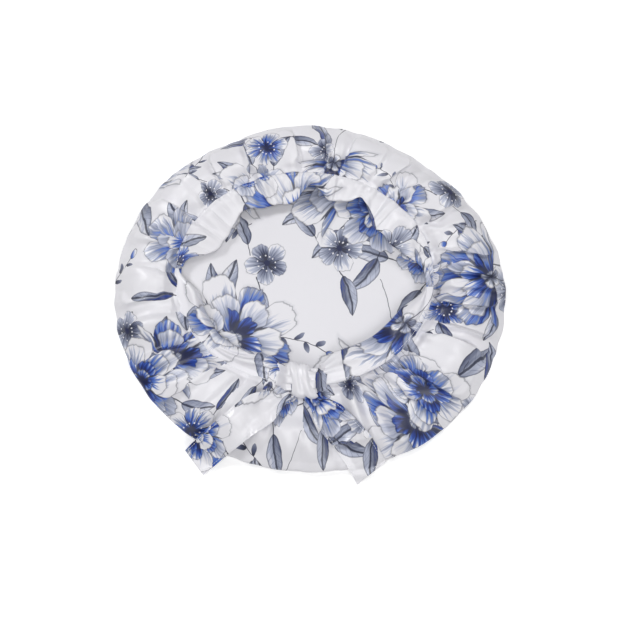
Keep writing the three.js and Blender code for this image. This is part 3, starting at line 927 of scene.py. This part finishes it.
def printed_cloth():
    """The whole print over the white ground: twigs, then leaves, then flowers."""
    tree = bpy.data.node_groups.new("print", "ShaderNodeTree")
    tree.interface.new_socket("colour", in_out="OUTPUT", socket_type="NodeSocketColor")
    end = tree.nodes.new("NodeGroupOutput")
    labels = ("under", "x", "y", "seed")
    colour = white
    builds = (thin_twig, leaf_blade, grey_blossom, blue_blossom, side_bloom, full_bloom)
    for layer, build in zip(print_layers, builds):
        group = node_group(layer, labels, {"colour": "colour"}, build)
        for rank in range(print_layers[layer][0]):
            mark = tree.nodes.new("ShaderNodeAttribute")
            mark.attribute_name = f"{layer}_{rank}"
            split = tree.nodes.new("ShaderNodeSeparateXYZ")
            tree.links.new(mark.outputs["Vector"], split.inputs[0])
            x, y, seed = (Wire(tree, socket) for socket in split.outputs)
            wobble = mottle(joined(x * 2.3, y * 2.3, seed * 40.0), 1.0, 2.0) - 0.5
            (colour,) = grouped(group, tree, colour, x + wobble * 0.16, y - wobble * 0.13, seed)
    feed(end.inputs[0], colour)
    return tree


cloth_print = printed_cloth()


def woven_material(name, roughness):
    """A new material: itself, its surface's inputs, and where a place lies on the flat cloth."""
    material = bpy.data.materials.new(name)
    material.use_nodes = True
    tree = material.node_tree
    inputs = tree.nodes["Principled BSDF"].inputs
    inputs["Roughness"].default_value = roughness
    flat = tree.nodes.new("ShaderNodeUVMap")
    flat.uv_map = "cloth"
    split = tree.nodes.new("ShaderNodeSeparateXYZ")
    tree.links.new(flat.outputs["UV"], split.inputs[0])
    return material, inputs, Wire(tree, split.outputs[0]), Wire(tree, split.outputs[1])


def raised_by(height, distance):
    """The way a surface faces when it is raised by a height, times a distance in metres."""
    bump = height.tree.nodes.new("ShaderNodeBump")
    bump.inputs["Distance"].default_value = distance
    feed(bump.inputs["Height"], height)
    return Wire(height.tree, bump.outputs["Normal"])


def printed_satin(name, roughness, crumple):
    """White satin with the print on it: a broad soft shine, a fine twill and small crumples."""
    material, inputs, x, y = woven_material(name, roughness)
    inputs["Specular IOR Level"].default_value = 0.7
    inputs["Sheen Weight"].default_value = 0.06
    inputs["Sheen Roughness"].default_value = 0.4
    (colour,) = grouped(cloth_print, material.node_tree)
    feed(inputs["Base Color"], colour)
    twill = ((x + y * 0.35) * 9000.0).op("SINE") * 0.5 + (y * 7000.0).op("SINE") * 0.25
    fine_crumples = mottle(joined(x, y * 0.4, 4.0), 260.0, 2.0)
    crumples = mottle(joined(x, y, 0.0), 95.0, 3.0) + fine_crumples * 0.35
    feed(inputs["Normal"], raised_by(crumples * crumple + twill * (0.02 * mm), 1.0))
    return material


outer_satin = printed_satin("outer_satin", roughness=0.36, crumple=0.16 * mm)
lay_print(outer_cloth, outer_satin, shift=(0.25, 0.30), turn=190)


# Lining. The same round of satin again, inside the outer one, so that the bonnet can be worn
# either way out. Its middle shows through the opening, lying almost flat on the outer cloth.
lining_depth = cloth + gap
floor_shares = np.concatenate([np.linspace(0, 0.9, 52), [0.95, 1.0]])
lining_ring = [0.06, 0.14, 0.24, 0.36, 0.48, 0.6, 0.72, 0.82, 0.9, 0.96, 1.0]
a, points, places = crown_grid(480, floor_shares, lining_ring, lining_depth)
flat_x, flat_y = points[..., 0] - crown_middle[0], points[..., 1] - crown_middle[1]
away = np.hypot(flat_x, flat_y)
slack = (
    0.55 * np.sin(flat_x * 62 + 1.2 * np.sin(flat_y * 21 + 0.4))
    + 0.35 * np.sin(flat_x * 118 + 18 * flat_y + 1.1)
    + 0.4 * np.sin(flat_y * 74 - 26 * flat_x + 0.7 * np.sin(flat_x * 40))
)
bearing = np.arctan2(flat_y, flat_x)
gathered_rim = np.sin(bearing * 34 + 2.2 * np.sin(bearing * 5))
gathered_rim = gathered_rim * smooth((away - 70 * mm) / (60 * mm))
on_floor = np.zeros(points.shape[:2])
on_floor[: len(floor_shares)] = 1
loose = on_floor * smooth((160 * mm - away) / (32 * mm))
points[..., 2] += loose * mm * (0.9 + 0.55 * slack + 0.5 * gathered_rim)
beside = smooth((-flat_x - 55 * mm) / (55 * mm)) * (1 - smooth((away - 112 * mm) / (30 * mm)))
points[..., 2] += on_floor * beside * smooth(1.4 - np.abs(flat_y) / (70 * mm)) * 4.5 * mm
lining_uv = corners(points[..., :2] - crown_middle)
ring_uv = crown_cloth(points, places, a)
lining_uv[len(floor_shares) - 1 :] = ring_uv[len(floor_shares) - 1 :]
lining_cloth = grid_piece("lining_cloth", points[:, :-1], lining_uv)
give_thickness(lining_cloth)
stand_for(lining_cloth, "lining_shell", "cap")
lining_satin = printed_satin("lining_satin", roughness=0.38, crumple=0.18 * mm)
lay_print(lining_cloth, lining_satin, shift=(0.17, 0.15), turn=10)


# Elastic. A flat woven elastic, ribbed along its length. It lies stretched in the casing, held at
# its two ends, and draws the back of the opening in.
join_right, join_left = math.radians(3), math.radians(168)
slot_top = seam_height + gap
slot_bottom = seam_height - stack - gap
binding_top = slot_top + cloth
binding_bottom = slot_bottom - cloth
slot_middle = (slot_top + slot_bottom) / 2
casing_width = 21 * mm
casing_slope = 0.25
elastic_width, elastic_thickness = 10 * mm, 1.4 * mm


def along_seam(a, inward, z):
    """Points from their bearing, their distance inwards from the seam, and their height."""
    return at(a, seam_line(a) - inward, z)


def swept(name, loops, hidden=0.0):
    """A closed strip from loops of points, one loop for each station along it. Its two faces meet
    at its ends. hidden is the length of flat cloth that folds have taken up before each point."""
    hidden = np.broadcast_to(hidden, loops.shape[:2])
    hidden = np.concatenate([hidden[:1], hidden[:1], hidden, hidden[-1:], hidden[-1:]])
    hidden = np.concatenate([hidden, hidden[:, :1]], axis=1)
    folded = (loops + loops[:, ::-1]) / 2
    ends = [(lerp(loops[n], folded[n], 0.55), folded[n]) for n in (0, -1)]
    step = loops[1:] - loops[:-1]
    out = [0.4 * mm * part / np.linalg.norm(part, axis=1)[:, None] for part in (-step[0], step[-1])]
    start = [ends[0][1] + out[0], ends[0][0] + out[0] * 0.7]
    finish = [ends[1][0] + out[1] * 0.7, ends[1][1] + out[1]]
    loops = np.concatenate([start, loops, finish])
    step = np.linalg.norm(np.diff(loops.mean(axis=1), axis=0), axis=1)
    along = np.concatenate([[0], np.cumsum(step)])
    wrapped = np.concatenate([loops, loops[:, :1]], axis=1)
    across = np.linalg.norm(np.diff(wrapped, axis=1), axis=2).mean(axis=0)
    across = np.concatenate([[0], np.cumsum(across)])
    flat = np.stack(np.meshgrid(along, across, indexing="ij"), axis=-1)
    flat[..., 0] += hidden
    return grid_piece(name, loops, corners(flat))


def rounded_loop(count, power):
    """A flat loop with rounded ends, one unit each way from its own middle."""
    turn = 2 * np.pi * (np.arange(count) + 0.5) / count
    return [np.sign(part) * np.abs(part) ** power for part in (np.cos(turn), np.sin(turn))]


casing_rows = np.array(
    [
        # bearing in degrees, reach of the free edge from the seam and its lift, both in mm
        (3, 6.5, 0),
        (9, 7, 0.3),
        (15, 11, 0.5),
        (21.6, 20, 1.0),
        (32, 28, 2.6),
        (40, 26, 0.8),
        (46, 29, 3.6),
        (53, 22, 1.2),
        (58, 15, 3.6),
        (62.3, 11.5, 6.5),
        (66.4, 18, 3.0),
        (76, 22, 0.6),
        (79.4, 22, 1.6),
        (84.6, 15.5, 5.5),
        (89, 11.5, 8.5),
        (92.7, 15, 6.0),
        (97.1, 23, 2.0),
        (103.5, 26.5, 0.4),
        (110, 25, 1.8),
        (117.5, 25, 0.8),
        (124, 21.5, 3.0),
        (130, 20, 2.2),
        (136, 25, 1.2),
        (143, 29, 0.4),
        (152, 30, 0.8),
        (156, 28, 0.4),
        (159.4, 22, 0.6),
        (163.5, 9, 0.3),
        (168, 6.5, 0),
    ]
)


def casing_row(a, column):
    """A value of the table above at each bearing, with its corners softened."""
    degrees, values = np.degrees(a), casing_rows[:, column]
    shifts = (-1.5, -0.7, 0, 0.7, 1.5)
    return sum(np.interp(degrees + shift, casing_rows[:, 0], values) for shift in shifts) / 5


def casing_middle(a, share):
    """Middle of the doubled casing: its reach in from the seam, and its height. share is 0 at the
    seam and 1 at its free edge. Each gather of the crown goes on into it as a ruffle."""
    along = np.clip((a - join_right) / (join_left - join_right), 0, 1)
    ends = smooth(along / 0.03) * smooth((1 - along) / 0.03)
    k, t = pleat_at(a, np.ones_like(a))
    ruffle = np.sin(np.pi * t) ** 1.2 * ends
    calm = smooth((np.degrees(a) - 112) / 14)
    small = np.sin(2 * np.pi * (2 * t + 0.3 * np.sin(3.1 * k))) * ends * (1 - 0.7 * calm)
    edge = mm * (casing_row(a, 1) + 0.7 * ruffle)
    reach = share * edge
    fall = casing_slope * np.maximum(0, reach - grip_depth)
    ruffled = (1.1 - 0.4 * calm) * ruffle + 0.4 * small
    curl = casing_row(a, 2) * share**1.6 + ruffled * smooth(share / 0.4)
    long = soft_noise(gathers, a + 0.2 * share, 0.3 * share) * smooth(share / 0.2) * (1 - 0.7 * calm)
    carried = (ring_surface(a, np.ones_like(a)) - seam_height) * (1 - share) ** 1.5 * ends
    return reach, slot_middle - fall + carried + mm * (curl + 0.5 * long * ends)


def casing_wall(a, share):
    """Half of the casing's thickness: full over the elastic, thin at its free edge."""
    k, t = pleat_at(a, np.ones_like(a))
    plump = 1.0 + 0.35 * np.sin(2 * np.pi * t + k) * np.sin(np.pi * share)
    return (binding_top - slot_middle) * lerp(1.0, 0.5, smooth(share / 0.9)) * plump


a = np.linspace(join_right, join_left, 420)[:, None]
inward, height = rounded_loop(32, power=0.6)
share = (grip_depth + gap + (inward + 1) / 2 * elastic_width) / casing_width
reach, middle = casing_middle(a, share[None, :] + 0 * a)
ribs = 0.06 * mm * np.cos(np.arange(32) * np.pi)
elastic = swept(
    "back_elastic_web", along_seam(a, reach, middle + height * elastic_thickness / 2 + ribs)
)
stand_for(elastic, "back_elastic", "cap")
elastic_white, inputs, x, y = woven_material("elastic_white", roughness=0.85)
knit = (x * 5200.0).op("SINE") * (y * 3100.0).op("SINE") * 0.5 + 0.5
knit_ink = ramp(knit, [(0.0, ink(214, 214, 210)), (1.0, ink(244, 244, 240))])
feed(inputs["Base Color"], knit_ink)
feed(inputs["Normal"], raised_by(knit, 0.2 * mm))
elastic.data.materials.append(elastic_white)


# Casing. A doubled strip of the satin sewn over the raw edge along the back. The elastic in it
# draws it into ruffles, which stand up most at its free inner edge.
def shares_across(count):
    """Places across a doubled cloth from the seam, 0, to its free edge, 1, closer at both."""
    return np.concatenate([[0.0, 0.04], np.linspace(0.1, 0.9, count), [0.95, 0.98, 1.0]])[None, :]


def doubled(a, share, reach, middle, wall, rounding):
    """The section of a doubled cloth at each bearing: its upper layer out to the free edge, and its
    lower one back. rounding is the share of its width over which the edge turns round."""
    bent = np.clip((share - 1 + rounding) / rounding, 0, 1)
    wall = wall * np.sqrt(np.clip(1 - bent**2, 0, 1))
    loop_in = np.concatenate([reach, reach[:, ::-1]], axis=1)
    loop_up = np.concatenate([middle + wall, (middle - wall)[:, ::-1]], axis=1)
    return along_seam(a, loop_in, loop_up)


def casing_loop(a):
    """The casing's section at each bearing: up over the elastic, round the free edge and back."""
    share = shares_across(12)
    reach, middle = casing_middle(a, share + 0 * a)
    wall = casing_wall(a, share) * lerp(0.6, 1, smooth(share / 0.12))
    return doubled(a, share, reach, middle, wall, rounding=0.07)


a = np.linspace(join_right, join_left, 700)[:, None]
casing_cloth = swept("casing_cloth", casing_loop(a))
stand_for(casing_cloth, "back_casing", "cap")
lay_print(casing_cloth, outer_satin, shift=(0.1475, 0.2354), turn=290)


# Bands. One long satin strap, folded over the raw edge along the front and sewn through. It is
# smooth and full, and its two halves run down to the knot.
tie_width = 28 * mm
band_edge_height = 10 * mm
knot_length = 40 * mm
bound_radius = 95 * mm
band_rows = np.array(
    [
        # bearing in degrees, plan width and roll as shares of the strap's width
        (166, 0.5, 0.1),
        (177, 0.78, 0.22),
        (190, 0.76, 0.2),
        (206, 0.68, 0.12),
        (235, 0.86, 0.09),
        (264, 0.66, 0.05),
        (300, 1.0, 0.06),
        (335, 0.95, 0.08),
        (363, 0.78, 0.12),
    ]
)


def eased_row(a, column):
    """A value of the table above at each bearing, eased between its rows."""
    degrees = np.degrees(a)
    k = np.clip(np.searchsorted(band_rows[:, 0], degrees) - 1, 0, len(band_rows) - 2)
    t = smooth((degrees - band_rows[k, 0]) / (band_rows[k + 1, 0] - band_rows[k, 0]))
    return lerp(band_rows[k, column], band_rows[k + 1, column], t)


def band_loop(a, toward_knot):
    """The folded strap's section at each bearing. toward_knot is 0 at its end and 1 at the knot."""
    at_left_end = near(a, 182, 22)
    tip = lerp(lerp(0.34, 0.1, at_left_end), 1, smooth(toward_knot / 0.16) ** 0.7)
    tip = tip * lerp(1, 0.86, smooth((toward_knot - 0.86) / 0.14))
    width, roll = tie_width * eased_row(a, 1) * tip, tie_width * eased_row(a, 2) * tip * 1.25
    share = shares_across(22)
    reach = share * width
    held = lerp(grip_depth, 2.6 * mm, at_left_end)
    v = np.clip((reach - held) / (width - held), 0, 1)
    fall = (band_edge_height - slot_middle) * v * v
    drawn = toward_knot**3
    folds = np.sin(v * 8 + 2.5 * np.sin(6 * a) + 1.0) * (0.35 + 1.0 * drawn)
    folds = folds + 0.9 * drawn * np.sin(v * 17 + 3 * a)
    twist = (np.degrees(a) - 212) / 56
    line = 3.8 * np.exp(-(((v - twist) / 0.17) ** 4)) * near(a, 229, 13)
    line = line - 4.5 * bell(v - twist - 0.32, 0.11) * near(a, 223, 9)
    raised = mm * (folds * np.sin(np.pi * v) + line * smooth(v / 0.1))
    crest_place = v ** (1 + 0.9 * at_left_end - 0.4 * near(a, 340, 38))
    middle = slot_middle + fall + roll * np.sin(np.pi * crest_place) + raised
    wall = (binding_top - slot_middle) * lerp(1.0, 0.55, smooth(v * 2.5))
    wall = wall * lerp(0.5, 1, smooth(share / 0.08))
    return doubled(a, share, reach, middle, wall, rounding=0.05)


knot_half_turn = knot_length / 2 / float(seam_line(np.array(knot_bearing)))
left_turns = (
    join_left + gap / float(seam_line(np.array(join_left))),
    knot_bearing - knot_half_turn,
)
right_turns = (
    knot_bearing + knot_half_turn,
    join_right + 2 * math.pi - gap / float(seam_line(np.array(join_right))),
)
strap_satin = printed_satin("strap_satin", roughness=0.29, crumple=0.16 * mm)
for side, (start, end), shift, turn in (
    ("left", left_turns, (0.18, 0.15), 180),
    ("right", right_turns, (0.29, 0.01), 110),
):
    a = np.linspace(start, end, 260)[:, None]
    toward = (a - start) / (end - start) if side == "left" else (end - a) / (end - start)
    band = swept(f"{side}_band_strap", band_loop(a, toward))
    stand_for(band, f"{side}_band", "cap")
    band_cut = (tie_width, (end - start) * bound_radius)
    lay_print(band, strap_satin, shift, turn)


# Knot. The two halves of the strap are crossed and pulled tight at the middle of the front. Their
# bunched middle lies inside one turn of the strap.
wrap_width, wrap_depth, wrap_thickness = 24 * mm, 30 * mm, 2.4 * mm
core_height = 8 * mm
wrap_bottom = binding_top + gap
core_bottom = wrap_bottom + wrap_thickness + gap
wrap_top = core_bottom + core_height + gap + wrap_thickness
knot_place = crown_middle + knot_flat
outward = np.array((math.cos(knot_bearing), math.sin(knot_bearing)))
sideways = np.array((-outward[1], outward[0]))


def knot_points(out, side, z):
    """Points from their distances out over the ring and round towards the right band."""
    x = knot_place[0] + out * outward[0] + side * sideways[0]
    y = knot_place[1] + out * outward[1] + side * sideways[1]
    return np.stack(np.broadcast_arrays(x, y, z), axis=-1)


reach = np.linspace(-1, 1, 120)[:, None]
turn = 2 * np.pi * (np.arange(72)[None, :] + 0.5) / 72
ease = smooth((np.abs(reach) - 0.5) / 0.5)
bunched = 1 + (0.15 * np.sin(6 * turn + 2 * reach) + 0.07 * np.sin(11 * turn - 3 * reach)) * (
    1 - 0.5 * ease
)
half_depth = mm * lerp(9.6, 9.4, ease)
half_height = lerp(core_height / 2, stack / 2 + cloth, ease) * 1.05
middle_out = lerp(0, knot_inset - tie_width * 0.29, ease)
middle_up = lerp(core_bottom + core_height / 2, slot_middle + 0.6 * mm, ease)
core_loops = knot_points(
    middle_out + half_depth * np.cos(turn) * bunched,
    reach * (knot_length / 2 + 1.5 * mm),
    middle_up + half_height * np.sin(turn) * bunched,
)
knot_bunch = swept("knot_bunch", core_loops)
stand_for(knot_bunch, "knot_core", "cap")
lay_print(knot_bunch, strap_satin, shift=(0.16, 0.14), turn=10)

around = np.linspace(0, 2 * np.pi, 144, endpoint=False)[:, None]
across, rise = rounded_loop(72, power=0.75)
across, rise = across[None, :], rise[None, :]
draw_in = 0.93 - 0.2 * np.sin(around) ** 2 + 0.07 * np.cos(around)
folds = 2.6 * mm * np.abs(np.sin(3.0 * (across - 0.1) + 0.5 * np.sin(around))) ** 0.65 - 1.1 * mm
folds = folds + 0.12 * mm * np.sin(13 * across + 3 * np.cos(around))
wrap_in = 1.0 * mm * rise + folds * (1 - across**4) + 0.9 * mm * (1 - across**2)
half_wrap_depth, half_wrap_height = wrap_depth / 2 - 3 * mm, (wrap_top - wrap_bottom) / 2 - 2.6 * mm
skew = 0.32
cloth_round, cloth_across = 75 * mm, 55 * mm
out = (half_wrap_depth + wrap_in) * np.cos(around)
side = across * wrap_width / 2 * draw_in + skew * out
wrap_loops = knot_points(
    out,
    side,
    (wrap_bottom + wrap_top) / 2 - 0.8 * mm + (half_wrap_height + wrap_in) * np.sin(around),
)
wrap_loops = np.concatenate([wrap_loops, wrap_loops[:1]])
flat = (np.linspace(0, cloth_round, 145), np.linspace(0, cloth_across, 73))
flat = np.stack(np.meshgrid(*flat, indexing="ij"), axis=-1)
knot_turn = grid_piece("knot_turn", wrap_loops, corners(flat))
stand_for(knot_turn, "knot_wrap", "cap")
lay_print(knot_turn, strap_satin, shift=(0.27, 0), turn=10)


# Tails. The two free ends of the strap, hemmed all round. They come out under the knot, lie over
# the pleats and the outer fold, and their ends hang down to the table.
tail_clearance = 0.6 * mm
tip_lift = 2 * mm
root_width = 15 * mm


def drape_height(x, y):
    """What a strap lies on at a place in the frame: the ring under it, and then the fall past it."""
    x, y = x - crown_middle[0], y - crown_middle[1]
    a, radius = np.arctan2(y, x), np.hypot(x, y)
    fold = fold_line(a)
    s = (fold - radius) / (fold - seam_line(a) - seam_margin)
    on_ring = ring_surface(a, np.clip(s, 0, 1)) + tail_clearance
    drop = smooth((radius - fold - fold_radius / 2) / (2.5 * fold_radius))
    past = lerp(2 * fold_radius + tail_clearance, tip_lift, drop)
    return np.where(s > 0, on_ring, past)


def stretched_over(x, y, reach=7 * mm):
    """The same, as a cloth too stiff to follow every pleat lies on it."""
    around = [(0, 0)] + [
        (r * math.cos(t), r * math.sin(t))
        for r in (reach / 2, reach)
        for t in np.linspace(0, 2 * np.pi, 8, endpoint=False)
    ]
    heights = np.stack([drape_height(x + dx, y + dy) for dx, dy in around])
    return lerp(heights.mean(axis=0), heights.max(axis=0), 0.55)


def root_distance(bearing):
    """From the knot's middle to where a tail comes out from under it."""
    turn = bearing - knot_bearing
    return (abs(math.sin(turn)) * wrap_width + abs(math.cos(turn)) * wrap_depth) / 2 + gap


def tail_surface(bearing, length, along, across, shape):
    """Middle of a tail's cloth at shares along its length and across its half width. A share of
    less than 0 lies under the knot."""
    bow, flare, crease, waves, curls, pocket = shape
    outside = np.maximum(along, 0)
    half = lerp(root_width, tie_width * lerp(*flare, outside), smooth(outside / 0.26)) / 2
    half = half * (1 + 0.02 * np.sin(9 * along + 2 * across))
    forward = root_distance(bearing) + along * length
    aside = across * half + bow * mm * np.sin(np.pi * outside) * outside
    x = knot_place[0] + forward * math.cos(bearing) - aside * math.sin(bearing)
    y = knot_place[1] + forward * math.sin(bearing) + aside * math.cos(bearing)
    lowest = (binding_top + tail_clearance) * (1 - smooth(along / 0.25))
    z = np.maximum(stretched_over(x, y), lowest) + cloth
    bunch = 1 - smooth(outside / 0.3)
    z = z + bunch * 1.2 * mm * (1 + np.sin(across * 8 + 2.0 + 5 * along))
    rolled = bell(along - 0.15, 0.055) - 0.8 * bell(along - 0.04, 0.04)
    z = z + pocket * mm * rolled * (1 - 0.6 * across**2)
    for turns, phase, size in waves:
        z = z + size * mm * (1 + np.sin(across * turns + phase + 4 * along)) * smooth(along / 0.2)
    place, lean, height = crease
    past = along + lean * across - place
    z = z + height * mm * np.exp(-np.abs(past / np.where(past < 0, 0.09, 0.025)) ** 1.3)
    z = z + 0.8 * mm * np.abs(across) ** 3 * np.sin(11 * along + 2 * across) * smooth(along / 0.3)
    for edge, height, middle, spread in curls:
        z = z + height * mm * np.clip(edge * across, 0, 1) ** 3 * bell(along - middle, spread)
    return np.stack(np.broadcast_arrays(x, y, z), axis=-1)


def tail_piece(name, bearing, length, shape, folded_under):
    """A tail as a mesh. folded_under is the length of strap that its crease has taken up."""
    t = np.linspace(-0.09, 1, 170)[:, None]
    across, rise = rounded_loop(64, power=0.5)
    middle = tail_surface(bearing, length, t, across[None, :], shape)
    middle[..., 2] += rise[None, :] * 0.5 * mm
    place, lean, _ = shape[2]
    past_crease = smooth((t + lean * across[None, :] - place) / 0.01 + 0.5)
    return swept(name, middle, past_crease * folded_under)


tails = {
    # bearing, length, shape (bow in mm, widths at root and end, crease, waves, curled edges, and
    # the roll at its root in mm), the strap hidden in the crease, and where in the print it was cut
    "left": (
        math.radians(217),
        94 * mm,
        (
            -3.0,
            (1.12, 0.94),
            (0.8, 0.1, 0.9),
            ((2.2, 0.4, 0.8), (5.0, 2.0, 0.5)),
            ((1, 3.5, 0.5, 0.3), (-1, 1.5, 0.25, 0.2)),
            0.8,
        ),
        0.0,
        (0.25, 0.27),
        100,
    ),
    "right": (
        math.radians(308),
        78 * mm,
        (
            2.5,
            (0.98, 1.12),
            (0.62, -0.1, 5.0),
            ((2.6, 1.4, 0.9), (5.5, 0.3, 0.5)),
            ((-1, 5.0, 0.45, 0.26), (1, 2.4, 0.75, 0.2)),
            3.4,
        ),
        8 * mm,
        (0.206, 0.247),
        262,
    ),
}
for side, (bearing, length, shape, folded_under, shift, turn) in tails.items():
    tail = tail_piece(f"{side}_tail_strap", bearing, length, shape, folded_under)
    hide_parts(f"{side}_tie_tail")
    lay_print(tail, strap_satin, shift, turn)
    toward = np.array((math.cos(bearing), math.sin(bearing)))
    root = knot_place + toward * root_distance(bearing)
    start, end = root - toward * 5 * mm, root + toward * 3 * mm
    height = binding_top + tail_clearance
    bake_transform(tail)


# Stitching. White polyester thread in a plain lockstitch: along the binding, along the casing and
# round the hems of the tails, with a close bar of stitches over each end of the elastic.
thread_radius = 0.13 * mm
stitch_pitch = 2.9 * mm


def thread(name, route, wide, high, node, body):
    """A thread round a route. wide and high are its section's half axes at each point."""
    turn = np.linspace(0, 2 * np.pi, 6, endpoint=False)[None, :, None]
    loops = route[:, None] + thread_radius * (np.cos(turn) * wide + np.sin(turn) * high)
    piece = swept(name, loops)
    stand_for(piece, node, body)
    piece.data.materials.append(thread_white)


def points_on(path, distance, place):
    """The points of a path at new distances along it."""
    return np.stack([np.interp(place, distance, path[:, n]) for n in range(3)], axis=1)


def stitches(name, path, up, node, body):
    """A thread that follows a path and dips through the cloth between one stitch and the next."""
    run = np.linalg.norm(np.diff(path, axis=0), axis=1)
    distance = np.concatenate([[0], np.cumsum(run)])
    count = max(8, int(distance[-1] / stitch_pitch) * 9)
    place = np.linspace(0, distance[-1], count)
    route = points_on(path, distance, place)
    wave = np.cos(2 * np.pi * place / stitch_pitch)
    lift = np.interp(wave, (-1, -0.6, 0.0, 1), (-0.6, -0.25, 0.04, 0.08))
    route[:, 2] += lift * mm + up
    forward = np.gradient(route, axis=0)
    forward /= np.linalg.norm(forward, axis=1)[:, None]
    side = np.cross(forward, (0, 0, 1))
    side /= np.linalg.norm(side, axis=1)[:, None]
    top = np.cross(side, forward)
    thread(name, route, 1.3 * side[:, None], top[:, None], node, body)


thread_white, inputs, x, y = woven_material("thread_white", roughness=0.55)
inputs["Sheen Weight"].default_value = 0.3
ply = ((x + y * 0.6) * 9000.0).op("SINE") * 0.5 + 0.5
ply_ink = ramp(ply, [(0.0, ink(222, 223, 228)), (1.0, ink(240, 240, 243))])
feed(inputs["Base Color"], ply_ink)

stitch_inset = 2 * mm
for side, (start, end) in (("left", left_turns), ("right", right_turns)):
    a = np.linspace(start, end, 400)
    path = along_seam(a, stitch_inset, binding_top + 0 * a)
    stitches(f"{side}_band_thread", path, 0.0, f"{side}_band_stitching", "cap")
a = np.linspace(join_right + 0.004, join_left - 0.004, 800)
reach, middle = casing_middle(a, stitch_inset / casing_width + 0 * a)
wall = casing_wall(a, stitch_inset / casing_width)
stitches("casing_thread", along_seam(a, reach, middle + wall), 0.0, "casing_stitching", "cap")
for side, (bearing, length, shape, *_) in tails.items():
    line = 1 - stitch_inset / (tie_width / 2)
    far = 1 - stitch_inset / length
    down = np.linspace(0.08, far, 200)
    over_end = np.linspace(-line, line, 60)[1:-1]
    along = np.concatenate([down, far + 0 * over_end, down[::-1]])
    across = np.concatenate([-line + 0 * down, over_end, line + 0 * down])
    path = tail_surface(bearing, length, along, across, shape)
    stitches(f"{side}_tail_thread", path, 0.5 * mm, f"{side}_tie_stitching", f"{side}_tie")

for side, join, step in (("left", join_left, -1), ("right", join_right, 1)):
    radius = float(seam_line(np.array(join)))
    rows = 26
    a = join + step * np.where(np.arange(rows) % 2, 0.5 * mm, 2.3 * mm) / radius
    share = np.linspace(grip_depth, grip_depth + elastic_width, rows) / casing_width
    reach, middle = casing_middle(a, share)
    path = along_seam(a, reach, middle + casing_wall(a, share))
    route = points_on(path, np.arange(rows), np.linspace(0, rows - 1, rows * 6))
    wide, high = np.array((0, 1.0, 0)), np.array((0, 0, 1.0))
    thread(f"{side}_bar_thread", route, wide, high, f"{side}_bartack", "cap")

boxes = {
    "cad": [list(corner) for corner in cad_box],
    "visual": [list(corner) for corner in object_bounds()],
}
